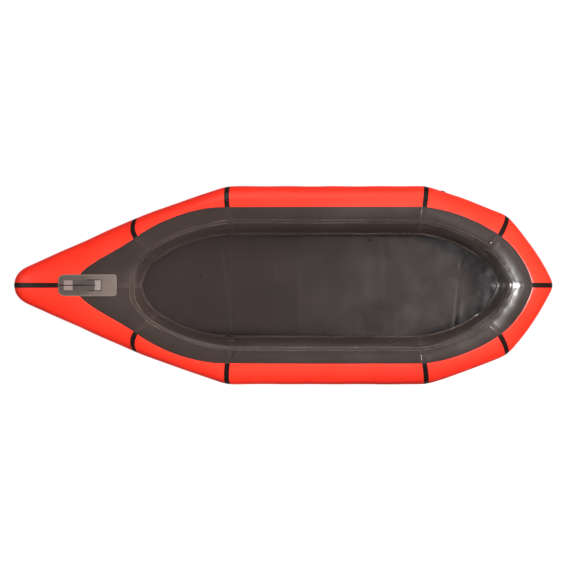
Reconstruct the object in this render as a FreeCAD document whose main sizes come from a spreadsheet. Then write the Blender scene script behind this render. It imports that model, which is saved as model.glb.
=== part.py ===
import FreeCAD, Part
import Sketcher
import math
import os

# Two-person inflatable kayak: one ring-shaped air tube of welded fabric gores round an open cockpit,
# a floor sheet welded under it, a grab loop on the bow deck and a screw-cap valve at the stern.
# Frame: +X to the bow, +Y to port, +Z up, origin under the middle of the hull, millimetres.

VECTOR = FreeCAD.Vector
UP = VECTOR(0, 0, 1)

DIMENSIONS = [
    # the air tube in plan, port side; starboard is its mirror image
    ("half_beam", 544.0, "centre line to the outer side of the side gores"),
    ("tube_diameter", 262.0, "side and stern tube"),
    ("shoulder_fore", 315.0, "X of the fore shoulder seam on the outer side"),
    ("shoulder_aft", 785.0, "distance aft of the aft shoulder seam on the outer side"),
    ("bow_reach", 1478.0, "origin to the bow tip"),
    ("nose_radius", 107.0, "round of the bow tip in plan"),
    ("bow_seam_fore", 820.0, "X of the bow seam, outer side"),
    ("bow_seam_side", 365.0, "Y of the bow seam, outer side"),
    ("cockpit_bow", 782.0, "X of the cockpit's fore end"),
    ("stern_reach", 1484.0, "origin to the stern tip"),
    ("corner_aft", 1225.0, "distance aft of the stern corner seam, outer side"),
    ("corner_side", 382.0, "Y of the stern corner seam, outer side"),
    # the air tube in height
    ("nose_height", 215.0, "height of the tube at the centre line of the bow"),
    ("bow_rise", 60.0, "how far the bow kicks up above the floor"),
    # where the panels meet, as angles round the tube from its outer side, over its top
    ("edge_angle", 85.0, "outer panel to deck panel at the seams, degrees"),
    ("edge_angle_bow", 91.0, "the same at the centre line of the bow, degrees"),
    ("lap_angle", 120.0, "deck panel to inner wall panel, degrees"),
    ("lap_angle_bow", 149.0, "the same at the centre line of the bow"),
    # fabrics, tapes and webbing
    ("fabric_thickness", 0.9, "coated fabric of the tube"),
    ("floor_thickness", 1.2, "coated fabric of the floor"),
    ("tape_width", 27.5, "seam tape"),
    ("tape_thickness", 0.6, "seam tape"),
    ("tape_foot", 58.0, "seam tapes start this far round below the outer and inner sides"),
    ("glue_gap", 0.15, "clearance between fabric faces that are glued or welded"),
    ("patch_aft", 905.0, "X of the deck patch's aft end"),
    ("patch_length", 310.0, "deck patch"),
    ("patch_width", 118.0, "deck patch"),
    ("patch_thickness", 1.4, "deck patch"),
    ("patch_round_fore", 36.0, "corner radius at the fore end of the patch"),
    ("patch_round_aft", 14.0, "corner radius at the aft end of the patch"),
    ("patch_tape_gap", 2.0, "centre seam tapes stop this short of the patch"),
    ("webbing_width", 24.0, "each leg of the grab loop"),
    ("webbing_thickness", 2.2, "one layer of webbing"),
    ("leg_gap", 5.0, "between the two legs of the grab loop"),
    ("loop_fore", 1140.0, "X where the loop leaves its sewn end"),
    ("loop_length", 155.0, "grab loop, from there to its aft end"),
    ("sewn_length", 47.0, "sewn end of each leg"),
    ("loop_clearance", 0.3, "grab loop above the patch"),
    ("loop_chamfer", 11.0, "folded corner of the grab loop"),
    # inflation valve
    ("valve_aft", 879.0, "distance aft of the valve"),
    ("valve_angle", -22.0, "angle of the valve round the tube, 0 being its outer side"),
    ("flange_diameter", 62.0, "welded fabric flange"),
    ("flange_thickness", 1.5, "welded fabric flange"),
    ("valve_hole_diameter", 31.0, "hole in the tube and the flange"),
    ("valve_bore_diameter", 22.0, "air way through the valve body"),
    ("valve_collar_diameter", 46.0, "collar of the valve body on the flange"),
    ("valve_collar_height", 4.0, "collar of the valve body"),
    ("valve_depth", 16.0, "valve body inside the tube, below the flange"),
    ("valve_neck_diameter", 28.0, "threaded neck under the cap"),
    ("valve_neck_height", 8.0, "threaded neck above the collar"),
    ("valve_fit", 0.3, "running clearance in the valve"),
    ("cap_wall", 3.0, "screw cap"),
    ("cap_grips", 8.0, "finger flutes round the cap"),
    ("cap_flute_radius", 3.4, "finger flute"),
    ("diaphragm_thickness", 1.5, "rubber flap of the one-way valve"),
    ("stem_diameter", 5.0, "stem of the flap"),
    ("spider_web", 4.0, "width of the arms that guide the stem"),
    ("spider_height", 3.0, "height of the arms that guide the stem"),
    ("flap_travel", 4.0, "how far the flap opens inwards"),
]

doc = FreeCAD.newDocument("InflatableKayak")
sheet = doc.addObject("Spreadsheet::Sheet", "Dimensions")
for row, (alias, value, meaning) in enumerate(DIMENSIONS, start=1):
    sheet.set(f"A{row}", alias)
    sheet.set(f"B{row}", str(value))
    sheet.set(f"C{row}", meaning)
    sheet.setAlias(f"B{row}", alias)
doc.recompute()
D = {alias: float(sheet.get(alias)) for alias, _, _ in DIMENSIONS}

pieces = []


def keep(obj, label):
    """Name an object as one finished piece of the kayak."""
    obj.Label = label
    pieces.append(obj)
    return obj


# ---------------------------------------------------------------- the air tube as a form

TUBE_BOTTOM = D["floor_thickness"] + D["glue_gap"]
# angles round the tube, in degrees: 0 is its outer side and 90 its crest
OUTER_KEEL = -90
INNER_SIDE = 180
INNER_KEEL = 270


def plan(x, y):
    return VECTOR(x, y, 0)


def turned_left(direction):
    return VECTOR(-direction.y, direction.x, 0).normalize()


def line_between(start, end):
    """Point function along a straight line, v from 0 to 1."""
    return lambda v: start + (end - start) * v


def nose_line(start, tip, radius):
    """Point function along a straight bow side and the round nose that it runs into."""
    centre = tip - VECTOR(radius, 0, 0)
    reach = centre - start
    slope = math.atan2(reach.y, reach.x) + math.asin(radius / reach.Length)
    touch = centre + VECTOR(-math.sin(slope), math.cos(slope), 0) * radius
    run = (touch - start).Length
    turn = math.pi / 2 + slope
    length = run + radius * turn

    def point(v):
        along = v * length
        if along <= run:
            return start + (touch - start) * (along / run)
        angle = turn - (along - run) / radius
        return centre + VECTOR(math.cos(angle), math.sin(angle), 0) * radius
    return point


def bow_lift(middle):
    """How far the tube has risen at a point of its centre line: none aft of the shoulder seam."""
    share = max(0.0, (middle.x - D["shoulder_fore"]) / (BOW_MIDDLE - D["shoulder_fore"]))
    return D["bow_rise"] * share ** 2


class Gore:
    """One length of the port tube between two seams. v is 0 at its aft seam and 1 at its fore seam."""

    def __init__(self, name, outer, inner, heights, edges, laps, stations=None):
        self.name = name
        self.outer = outer
        self.inner = inner
        self.heights = heights
        self.edges = edges
        self.laps = laps
        self.stations = stations
        self.lifts = [bow_lift((outer(v) + inner(v)) * 0.5) for v in (0, 1)]

    def blend(self, pair, v):
        return pair[0] + (pair[1] - pair[0]) * v

    def edge(self, v):
        return self.blend(self.edges, v)

    def lap(self, v):
        return self.blend(self.laps, v)

    def centre(self, v):
        """Middle of the tube section between its outer and its inner side."""
        middle = (self.outer(v) + self.inner(v)) * 0.5
        lift = bow_lift(middle) if self.stations else self.blend(self.lifts, v)
        return middle + UP * (TUBE_BOTTOM + lift + self.blend(self.heights, v) / 2)

    def point(self, angle, v, grow=0.0):
        """Point on the tube at an angle from its outer side, v along the gore, grow off its skin."""
        if self.stations:
            return self.faceted_point(angle, v, grow)
        radius = self.blend(self.heights, v) / 2
        turn = math.radians(angle)
        reach = (self.outer(v) - self.inner(v)) * 0.5
        away = reach * math.cos(turn) + UP * (radius * math.sin(turn))
        run = (self.centre(1) - self.centre(0)).normalize()
        square_off = math.sqrt(away.Length ** 2 - away.dot(run) ** 2)
        return self.centre(v) + away * ((radius + grow) / square_off)

    def section_point(self, angle, v, grow):
        """Point on the oval section at v."""
        reach = (self.outer(v) - self.inner(v)) * 0.5
        across = reach.Length + grow
        rise = self.blend(self.heights, v) / 2 + grow
        turn = math.radians(angle)
        return (self.centre(v) + reach.normalize() * (across * math.cos(turn))
                + UP * (rise * math.sin(turn)))

    def faceted_point(self, angle, v, grow):
        """Point on the straight line between the two stations on either side of v."""
        above = next(s for s in self.stations[1:] if v <= s)
        below = self.stations[self.stations.index(above) - 1]
        start, end = (self.section_point(angle, s, grow) for s in (below, above))
        return start + (end - start) * ((v - below) / (above - below))

    def speed(self, angle, v):
        """Distance on the skin for one unit of v."""
        step = 0.02
        other = v - step if v > 0.5 else v + step
        return (self.point(angle, v) - self.point(angle, other)).Length / step


def mitred_inner(points, width):
    """Inner corners of a tube of even width whose outer side runs through the points."""
    corners = []
    for before, corner, after in zip(points, points[1:], points[2:]):
        arrive = (corner - before).normalize()
        leave = (after - corner).normalize()
        bisector = (turned_left(arrive) + turned_left(leave)).normalize()
        corners.append(corner - bisector * (width / bisector.dot(turned_left(arrive))))
    return corners


stern_tip = plan(-D["stern_reach"], 0)
corner_outer = plan(-D["corner_aft"], D["corner_side"])
aft_outer = plan(-D["shoulder_aft"], D["half_beam"])
fore_outer = plan(D["shoulder_fore"], D["half_beam"])
bow_outer = plan(D["bow_seam_fore"], D["bow_seam_side"])
bow_tip = plan(D["bow_reach"], 0)
bow_cockpit = plan(D["cockpit_bow"], 0)
BOW_MIDDLE = (D["bow_reach"] + D["cockpit_bow"]) / 2

stern_mirror = plan(-D["corner_aft"], -D["corner_side"])
nose_start = nose_line(bow_outer, bow_tip, D["nose_radius"])(0.5)
stern_inner, corner_inner, aft_inner, fore_inner, bow_inner = mitred_inner(
    [stern_mirror, stern_tip, corner_outer, aft_outer, fore_outer, bow_outer, nose_start],
    D["tube_diameter"])

full = (D["tube_diameter"], D["tube_diameter"])
even_edge = (D["edge_angle"], D["edge_angle"])
even_lap = (D["lap_angle"], D["lap_angle"])
BOW_STATIONS = [0, 0.3, 0.6, 0.82, 0.92, 1]

stern = Gore("stern", line_between(stern_tip, corner_outer),
             line_between(stern_inner, corner_inner), full, even_edge, even_lap)
stern_quarter = Gore("stern_quarter", line_between(corner_outer, aft_outer),
                     line_between(corner_inner, aft_inner), full, even_edge, even_lap)
side = Gore("side", line_between(aft_outer, fore_outer),
            line_between(aft_inner, fore_inner), full, even_edge, even_lap)
bow_quarter = Gore("bow_quarter", line_between(fore_outer, bow_outer),
                   line_between(fore_inner, bow_inner), full, even_edge, even_lap)
bow = Gore("bow", nose_line(bow_outer, bow_tip, D["nose_radius"]),
           line_between(bow_inner, bow_cockpit), (D["tube_diameter"], D["nose_height"]),
           (D["edge_angle"], D["edge_angle_bow"]), (D["lap_angle"], D["lap_angle_bow"]), BOW_STATIONS)

GORES = [stern, stern_quarter, side, bow_quarter, bow]


# ---------------------------------------------------------------- sheets on the tube

# degrees between the facets of a faceted sheet; trimming planes pass the tube by the margin; and tapes
# stand off the twisted facets of the bow by a little more
STEP_ANGLE = 10.0
MARGIN = 40.0
BOW_TWIST = 1.4


def round_sheet(gore, low, high, under, over):
    """Sheet on a straight gore: an arc band drawn along the gore and mitred by two upright planes."""
    aft, fore = gore.centre(0), gore.centre(1)
    run = VECTOR(fore - aft).normalize()
    side_way = turned_left(run)
    top_way = run.cross(side_way)
    spare = D["tube_diameter"]
    foot = aft - run * spare

    def arc_point(angle, radius):
        turn = math.radians(angle)
        return foot + side_way * (radius * math.cos(turn)) + top_way * (radius * math.sin(turn))

    radius = D["tube_diameter"] / 2
    arcs = [Part.Arc(arc_point(low, r), arc_point((low + high) / 2, r), arc_point(high, r)).toShape()
            for r in (radius + over, radius + under)]
    ends = [Part.makeLine(arc_point(a, radius + over), arc_point(a, radius + under))
            for a in (low, high)]
    band = Part.Face(Part.Wire([arcs[0], ends[1], arcs[1], ends[0]]))
    drawn = band.extrude(run * ((fore - aft).Length + 2 * spare))
    outline = []
    for v, order in ((0, 1), (1, -1)):
        outer, inner = gore.outer(v), gore.inner(v)
        beyond = VECTOR(outer - inner).normalize() * MARGIN
        outline += [outer + beyond, inner - beyond][::order]
    drop = UP * MARGIN
    base = Part.Face(Part.makePolygon([p - drop for p in outline + outline[:1]]))
    return drawn.common(base.extrude(UP * (D["tube_diameter"] + D["bow_rise"] + 2 * MARGIN)))


def faceted_sheet(rows_over, rows_under):
    """Closed sheet of flat facets between two grids of points, as fabric takes a double curve."""
    faces = []

    def facet(a, b, c):
        faces.append(Part.Face(Part.makePolygon([a, b, c, a])))

    def patchwork(rows):
        for row, following in zip(rows, rows[1:]):
            for a, b, c, d in zip(row, row[1:], following[1:], following):
                facet(a, b, c)
                facet(a, c, d)

    patchwork(rows_over)
    patchwork(rows_under)
    for i in (0, -1):
        patchwork([rows_over[i], rows_under[i]])
        patchwork([[row[i] for row in rows_over], [row[i] for row in rows_under]])
    solid = Part.Solid(Part.Shell(faces))
    return solid if solid.Volume > 0 else solid.reversed()


def spread(low, high):
    count = max(3, math.ceil((high - low) / STEP_ANGLE) + 1)
    return [low + (high - low) * i / (count - 1) for i in range(count)]


def bow_sheet(low, high, under, over):
    """Sheet on the double-curved bow gore between two edges that may run along it at a slant."""
    count = max(len(spread(low(v), high(v))) for v in BOW_STATIONS)
    grids = []
    for grow in (over, under):
        grids.append([[bow.point(low(v) + (high(v) - low(v)) * i / (count - 1), v, grow)
                       for i in range(count)] for v in BOW_STATIONS])
    return faceted_sheet(*grids)


def make_feature(name, shape):
    feature = doc.addObject("Part::Feature", name)
    feature.Shape = shape
    return feature


def mirror_to_starboard(obj, name):
    mirrored = doc.addObject("Part::Mirroring", name)
    mirrored.Source = obj
    mirrored.Normal = (0, 1, 0)
    return mirrored


VALVE_PANEL = "stern_quarter_outer"


def make_panels(gore):
    """Outer, deck and inner wall panel of one gore, port and starboard."""
    bands = [("outer", lambda v: OUTER_KEEL, gore.edge), ("deck", gore.edge, gore.lap),
             ("inner", gore.lap, lambda v: INNER_KEEL)]
    for band, low, high in bands:
        label = f"{gore.name}_{band}"
        if gore is bow:
            shape = bow_sheet(low, high, -D["fabric_thickness"], 0)
        else:
            shape = round_sheet(gore, low(0), high(0), -D["fabric_thickness"], 0)
        panel = keep(make_feature("port_" + label, shape), "port_" + label)
        mirrored = mirror_to_starboard(panel, "starboard_" + label)
        if label == VALVE_PANEL:
            mirrored.Label = "valve_panel_uncut"
        else:
            keep(mirrored, "starboard_" + label)


for gore in GORES:
    make_panels(gore)


# ---------------------------------------------------------------- seam tapes

def tape_row(gore, v, angles, grow, beside=0):
    """Points of a seam tape round the tube: on the seam at v, or half a tape's width beside it."""
    reach = (gore.outer(v) - gore.inner(v)).Length / 2
    stand_off = reach * (1 / math.cos(math.radians(STEP_ANGLE / 2)) - 1)
    stand_off *= BOW_TWIST if gore.stations else 1
    way = beside * (1 if v < 0.5 else -1) * D["tape_width"] / 2
    return [gore.point(a, v + way / gore.speed(a, v), D["glue_gap"] + stand_off + grow) for a in angles]


def seam_tape(aft_gore, fore_gore, low, high):
    """Tape over the seam between two gores, from one angle round the tube to another."""
    angles = spread(low, high)
    middle = fore_gore.centre(0)
    grids = []
    for grow in (D["tape_thickness"], 0):
        both = zip(tape_row(aft_gore, 1, angles, grow), tape_row(fore_gore, 0, angles, grow))
        ridge = [max(pair, key=lambda point: (point - middle).Length) for pair in both]
        grids.append([tape_row(aft_gore, 1, angles, grow, 1), ridge,
                      tape_row(fore_gore, 0, angles, grow, 1)])
    return faceted_sheet(*grids)


def centre_tape(gore, v, low, high):
    """Tape along the centre line, where the port and starboard gores of bow or stern meet."""
    angles = spread(low, high)
    grids = []
    for grow in (D["tape_thickness"], 0):
        port_row = tape_row(gore, v, angles, grow, 1)
        starboard_row = [VECTOR(p.x, -p.y, p.z) for p in port_row]
        grids.append([port_row, tape_row(gore, v, angles, grow), starboard_row])
    return faceted_sheet(*grids)


FOOT = D["tape_foot"]
SEAMS = [("corner", stern, stern_quarter), ("aft_shoulder", stern_quarter, side),
         ("fore_shoulder", side, bow_quarter), ("bow", bow_quarter, bow)]
for seam_name, aft_gore, fore_gore in SEAMS:
    meeting = fore_gore.edge(0)
    port_name = f"port_{seam_name}_tape_outer"
    black = keep(make_feature(port_name, seam_tape(aft_gore, fore_gore, -FOOT, meeting)), port_name)
    keep(mirror_to_starboard(black, f"starboard_{seam_name}_tape"),
         f"starboard_{seam_name}_tape_outer")
    grey = seam_tape(aft_gore, fore_gore, meeting, INNER_SIDE + FOOT)
    pair = Part.makeCompound([grey, grey.mirror(VECTOR(), VECTOR(0, 1, 0))])
    keep(make_feature(f"{seam_name}_tapes", pair), f"{seam_name}_tapes_inner")


def bow_angle_at(x):
    """Angle round the bow's centre section where its top passes over x."""
    return math.degrees(math.acos((x - BOW_MIDDLE) / (D["bow_reach"] - BOW_MIDDLE)))


patch_fore = D["patch_aft"] + D["patch_length"]
tape_end = bow_angle_at(patch_fore + D["patch_tape_gap"])
tape_restart = bow_angle_at(D["patch_aft"] - D["patch_tape_gap"])
for name, gore, v, low, high in (
        ("bow_centre_tape_outer", bow, 1, -FOOT, tape_end),
        ("bow_centre_tape_inner", bow, 1, tape_restart, INNER_SIDE + FOOT),
        ("stern_centre_tape_outer", stern, 0, -FOOT, D["edge_angle"]),
        ("stern_centre_tape_inner", stern, 0, D["edge_angle"], INNER_SIDE + FOOT)):
    keep(make_feature(name, centre_tape(gore, v, low, high)), name)


# ---------------------------------------------------------------- floor

def keel_row(gore, v, drop):
    """Points across the floor sheet from keel to keel, starboard to port."""
    keel = gore.point(OUTER_KEEL, v)
    half = max(keel.y, D["tape_width"] / 2)
    height = keel.z - drop
    return [VECTOR(keel.x, -half, height), VECTOR(keel.x, half, height)]


def floor_sheet(stations):
    """Floor sheet under the tube, welded along the keel lines."""
    top = D["glue_gap"]
    low = top + D["floor_thickness"]
    return faceted_sheet([keel_row(gore, v, top) for gore, v in stations],
                         [keel_row(gore, v, low) for gore, v in stations])


keep(make_feature("floor_main", floor_sheet([(stern, 0), (stern_quarter, 0), (side, 0), (side, 1)])),
     "floor_main")
keep(make_feature("floor_bow", floor_sheet([(bow_quarter, 0)] + [(bow, v) for v in BOW_STATIONS])),
     "floor_bow")


# ---------------------------------------------------------------- PartDesign helpers

def new_body(name):
    return doc.addObject("PartDesign::Body", name)


def new_sketch(body, name, role):
    """Sketch on one of the body's own origin planes."""
    sketch = body.newObject("Sketcher::SketchObject", name)
    plane = next(f for f in body.Origin.OriginFeatures if f.Role == role)
    sketch.AttachmentSupport = [(plane, "")]
    sketch.MapMode = "FlatFace"
    return sketch


# lines that stray less than this, in mm, count as level or upright
LEVEL = 1e-6


def draw_outline(sketch, points):
    """Closed chain of lines, joined end to end, those along an axis held level or upright."""
    first = sketch.GeometryCount
    count = len(points)
    for i in range(count):
        sketch.addGeometry(Part.LineSegment(VECTOR(*points[i], 0), VECTOR(*points[(i + 1) % count], 0)))
    for i in range(count):
        start, end = points[i], points[(i + 1) % count]
        sketch.addConstraint(Sketcher.Constraint("Coincident", first + i, 2, first + (i + 1) % count, 1))
        if abs(start[1] - end[1]) < LEVEL:
            sketch.addConstraint(Sketcher.Constraint("Horizontal", first + i))
        elif abs(start[0] - end[0]) < LEVEL:
            sketch.addConstraint(Sketcher.Constraint("Vertical", first + i))
    return first


def drive(sketch, kind, refs, expression):
    """Dimension whose value is bound to the spreadsheet."""
    index = sketch.addConstraint(Sketcher.Constraint(kind, *refs, 1.0 if kind != "Angle" else 0.1))
    sketch.setExpression(f"Constraints[{index}]", expression)


def add_pad(body, name, sketch, expression, reverse=False):
    pad = body.newObject("PartDesign::Pad", name)
    pad.Profile = sketch
    pad.Reversed = reverse
    pad.setExpression("Length", expression)
    return pad


def add_fillet(body, name, base, edges, expression):
    fillet = body.newObject("PartDesign::Fillet", name)
    fillet.Base = (base, edges)
    fillet.setExpression("Radius", expression)
    return fillet


def upright_edges(shape, wanted):
    """Names of the vertical edges whose position passes the test."""
    names = []
    for number, edge in enumerate(shape.Edges, start=1):
        start, end = edge.Vertexes[0].Point, edge.Vertexes[-1].Point
        if abs(start.x - end.x) < LEVEL and abs(start.y - end.y) < LEVEL and wanted(start):
            names.append(f"Edge{number}")
    return names


# ---------------------------------------------------------------- patch and grab loop on the bow deck

# patch and webbing lie on the bow between these angles round the tube, clear of its facets
LAYER_LOW, LAYER_HIGH = 45, 160
layer_step = (LAYER_HIGH - LAYER_LOW) / (len(spread(LAYER_LOW, LAYER_HIGH)) - 1)
layer_foot = D["glue_gap"] + D["nose_height"] / 2 * (1 - math.cos(math.radians(layer_step / 2)))


def bow_layer(name, under, over):
    """Sheet over the whole top of the bow, port and starboard, to be trimmed to a plan outline."""
    port = bow_sheet(lambda v: LAYER_LOW, lambda v: LAYER_HIGH, under, over)
    both = port.fuse(port.mirror(VECTOR(), VECTOR(0, 1, 0))).removeSplitter()
    return make_feature(name, both)


def trim(name, layer, outline):
    common = doc.addObject("Part::Common", name)
    common.Base = layer
    common.Tool = outline
    return common


def plan_prism(name, points, constraints):
    """Upright block over a plan outline, tall enough to pass through the bow."""
    body = new_body(name)
    sketch = new_sketch(body, name + "Outline", "XY_Plane")
    draw_outline(sketch, points)
    for kind, refs, expression in constraints:
        drive(sketch, kind, refs, expression)
    add_pad(body, name + "Block", sketch, "Dimensions.tube_diameter * 2")
    return body


patch_half = D["patch_width"] / 2
patch_body = plan_prism(
    "PatchOutline",
    [(D["patch_aft"], -patch_half), (patch_fore, -patch_half),
     (patch_fore, patch_half), (D["patch_aft"], patch_half)],
    [("DistanceX", (-1, 1, 0, 1), "Dimensions.patch_aft"),
     ("DistanceX", (0, 1, 0, 2), "Dimensions.patch_length"),
     ("DistanceY", (1, 1, 1, 2), "Dimensions.patch_width"),
     ("DistanceY", (0, 1, -1, 1), "Dimensions.patch_width / 2")])
doc.recompute()
block = patch_body.Tip
middle_x = D["patch_aft"] + D["patch_length"] / 2
fore_round = add_fillet(patch_body, "ForeRound", block,
                        upright_edges(block.Shape, lambda p: p.x > middle_x),
                        "Dimensions.patch_round_fore")
doc.recompute()
aft_edges = [name for name in upright_edges(fore_round.Shape, lambda p: p.x < D["patch_aft"] + LEVEL)]
add_fillet(patch_body, "AftRound", fore_round, aft_edges, "Dimensions.patch_round_aft")

patch_top = layer_foot + D["patch_thickness"]
keep(trim("BowPatch", bow_layer("PatchLayer", layer_foot, patch_top), patch_body), "bow_patch")

loop_half = D["leg_gap"] / 2 + D["webbing_width"]
loop_bottom = patch_top + D["loop_clearance"]
loop_top = loop_bottom + D["webbing_thickness"]
loop_start = D["loop_fore"] - D["loop_clearance"]
loop_end = D["loop_fore"] - D["loop_length"]
fold_line = loop_end + D["webbing_width"]

leg_points = [(D["loop_fore"], D["leg_gap"] / 2), (D["loop_fore"] + D["sewn_length"], D["leg_gap"] / 2),
              (D["loop_fore"] + D["sewn_length"], loop_half), (D["loop_fore"], loop_half)]
leg_body = plan_prism(
    "SewnLegOutline", leg_points,
    [("DistanceX", (-1, 1, 0, 1), "Dimensions.loop_fore"),
     ("DistanceX", (0, 1, 0, 2), "Dimensions.sewn_length"),
     ("DistanceY", (1, 1, 1, 2), "Dimensions.webbing_width"),
     ("DistanceY", (-1, 1, 0, 1), "Dimensions.leg_gap / 2")])
sewn_layer = bow_layer("SewnLayer", patch_top + D["glue_gap"],
                       patch_top + D["glue_gap"] + D["webbing_thickness"])
port_leg = keep(trim("PortSewnLeg", sewn_layer, leg_body), "port_loop_sewn_end")
keep(mirror_to_starboard(port_leg, "StarboardSewnLeg"), "starboard_loop_sewn_end")

chamfer = D["loop_chamfer"]
loop_points = [(loop_start, D["leg_gap"] / 2), (loop_start, loop_half), (loop_end + chamfer, loop_half),
               (loop_end, loop_half - chamfer), (loop_end, chamfer - loop_half),
               (loop_end + chamfer, -loop_half), (loop_start, -loop_half),
               (loop_start, -D["leg_gap"] / 2), (fold_line, -D["leg_gap"] / 2),
               (fold_line, D["leg_gap"] / 2)]
fold_points = [(loop_end, loop_half - chamfer), (loop_end, chamfer - loop_half),
               (fold_line, -D["leg_gap"]), (fold_line, D["leg_gap"])]
loop_legs = trim("LoopLegs", bow_layer("LoopLayer", loop_bottom, loop_top),
                 plan_prism("LoopOutline", loop_points, []))
loop_fold = trim("LoopFold", bow_layer("FoldLayer", loop_top, loop_top + D["webbing_thickness"]),
                 plan_prism("FoldOutline", fold_points, []))
loop = doc.addObject("Part::Fuse", "GrabLoop")
loop.Base = loop_legs
loop.Tool = loop_fold
keep(loop, "grab_loop")


# ---------------------------------------------------------------- inflation valve, starboard stern quarter

valve_share = (D["corner_aft"] - D["valve_aft"]) / (D["corner_aft"] - D["shoulder_aft"])
port_spot = stern_quarter.point(D["valve_angle"], valve_share)
port_normal = (port_spot - stern_quarter.centre(valve_share)).normalize()
along = (corner_outer - aft_outer).normalize()
port_normal = (port_normal - along * port_normal.dot(along)).normalize()
valve_axis = VECTOR(port_normal.x, -port_normal.y, port_normal.z)
valve_spot = VECTOR(port_spot.x, -port_spot.y, port_spot.z)
VALVE_FRAME = FreeCAD.Placement(valve_spot, FreeCAD.Rotation(UP, valve_axis))


def valve_cylinder(name, radius, low, height):
    """Cylinder on the valve's axis, its foot at a height off the tube's skin."""
    cylinder = doc.addObject("Part::Cylinder", name)
    cylinder.setExpression("Radius", radius)
    cylinder.Height = height
    cylinder.Placement = VALVE_FRAME.multiply(FreeCAD.Placement(VECTOR(0, 0, low),
                                                                FreeCAD.Rotation()))
    return cylinder


def cut(name, base, tool):
    result = doc.addObject("Part::Cut", name)
    result.Base = base
    result.Tool = tool
    return result


reach = D["flange_diameter"]
hole = valve_cylinder("ValveHole", "Dimensions.valve_hole_diameter / 2", -reach / 2, reach)
valve_panel = doc.getObject("starboard_" + VALVE_PANEL)
keep(cut("ValvePanel", valve_panel, hole), "starboard_" + VALVE_PANEL)

flange_top = D["glue_gap"] + D["flange_thickness"]
flange_half_angle = math.degrees(D["flange_diameter"] / D["tube_diameter"]) * 2
flange_layer = mirror_to_starboard(make_feature("FlangeLayer", round_sheet(
    stern_quarter, D["valve_angle"] - flange_half_angle, D["valve_angle"] + flange_half_angle,
    D["glue_gap"], flange_top)), "FlangeSheet")
disc = valve_cylinder("FlangeDisc", "Dimensions.flange_diameter / 2", -reach / 2, reach)
keep(cut("ValveFlange", trim("FlangeBlank", flange_layer, disc), hole), "valve_flange")


def turned(name, points):
    """Body turned about the valve's axis from a half profile of (radius, height) points."""
    body = new_body(name)
    sketch = new_sketch(body, name + "Profile", "XZ_Plane")
    draw_outline(sketch, points)
    turn = body.newObject("PartDesign::Revolution", name + "Turn")
    turn.Profile = sketch
    turn.ReferenceAxis = (sketch, ["V_Axis"])
    turn.Angle = 360
    body.Placement = VALVE_FRAME
    return body


def pad_at(body, name, height, length, draw, reverse=False):
    """Pad of a sketch lifted to a height on the body's axis."""
    sketch = new_sketch(body, name + "Sketch", "XY_Plane")
    sketch.AttachmentOffset = FreeCAD.Placement(VECTOR(0, 0, height), FreeCAD.Rotation())
    draw(sketch)
    return add_pad(body, name, sketch, length, reverse)


def polar(body, name, feature, sketch, count):
    pattern = body.newObject("PartDesign::PolarPattern", name)
    pattern.Originals = [feature]
    pattern.Axis = (sketch, ["N_Axis"])
    pattern.Angle = 360
    pattern.Occurrences = count
    body.Tip = pattern
    return pattern


fit = D["valve_fit"]
bore = D["valve_bore_diameter"] / 2
barrel = D["valve_hole_diameter"] / 2 - fit
collar = D["valve_collar_diameter"] / 2
neck = D["valve_neck_diameter"] / 2
collar_foot = flange_top + D["glue_gap"]
collar_top = collar_foot + D["valve_collar_height"]
neck_top = collar_top + D["valve_neck_height"]
valve_bottom = -D["valve_depth"]
stem = D["stem_diameter"] / 2
SPIDER_ARMS = 4

valve_body = turned("ValveBody", [(bore, valve_bottom), (barrel, valve_bottom), (barrel, collar_foot),
                                  (collar, collar_foot), (collar, collar_top), (neck, collar_top),
                                  (neck, neck_top), (bore, neck_top)])
hub = stem + fit + D["spider_web"] / 2


def draw_arm(sketch):
    half = D["spider_web"] / 2
    draw_outline(sketch, [(hub - fit, -half), (bore + fit, -half), (bore + fit, half), (hub - fit, half)])


def draw_hub(sketch):
    for radius in (hub, stem + fit):
        sketch.addGeometry(Part.Circle(VECTOR(), VECTOR(0, 0, 1), radius))


arm = pad_at(valve_body, "SpiderArm", valve_bottom, "Dimensions.spider_height", draw_arm)
polar(valve_body, "SpiderArms", arm, arm.Profile[0], SPIDER_ARMS)
pad_at(valve_body, "SpiderHub", valve_bottom, "Dimensions.spider_height", draw_hub)
keep(valve_body, "valve_body")

flap_top = valve_bottom - fit
flap_radius = (bore + barrel) / 2
stem_top = valve_bottom + D["spider_height"] + D["flap_travel"] + fit
flap_low = flap_top - D["diaphragm_thickness"]
keep(turned("ValveFlap", [(0, flap_low), (flap_radius, flap_low), (flap_radius, flap_top),
                          (stem, flap_top), (stem, stem_top), (0, stem_top)]), "valve_flap")

seal_low = neck_top + fit
seal_top = seal_low + D["diaphragm_thickness"]
keep(turned("CapSeal", [(0, seal_low), (neck, seal_low), (neck, seal_top), (0, seal_top)]), "cap_seal")

cap_inside = neck + fit
cap_outside = cap_inside + D["cap_wall"]
cap_foot = collar_top + fit
ceiling = seal_top + fit
cap_top = ceiling + D["cap_wall"]
edge_cut = D["cap_wall"] / 3
cap = turned("ScrewCap", [(0, ceiling), (cap_inside, ceiling), (cap_inside, cap_foot),
                          (cap_outside, cap_foot), (cap_outside, cap_top - edge_cut),
                          (cap_outside - edge_cut, cap_top), (0, cap_top)])
flute_sketch = new_sketch(cap, "FluteSketch", "XY_Plane")
flute_sketch.AttachmentOffset = FreeCAD.Placement(VECTOR(0, 0, cap_top), FreeCAD.Rotation())
flute_sketch.addGeometry(Part.Circle(VECTOR(cap_outside + D["cap_flute_radius"] / 2, 0, 0),
                                     VECTOR(0, 0, 1), D["cap_flute_radius"]))
flute = cap.newObject("PartDesign::Pocket", "Flute")
flute.Profile = flute_sketch
flute.Length = cap_top - cap_foot
flute.Reversed = False
doc.recompute()
polar(cap, "Flutes", flute, flute_sketch, int(D["cap_grips"]))
keep(cap, "valve_cap")


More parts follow.
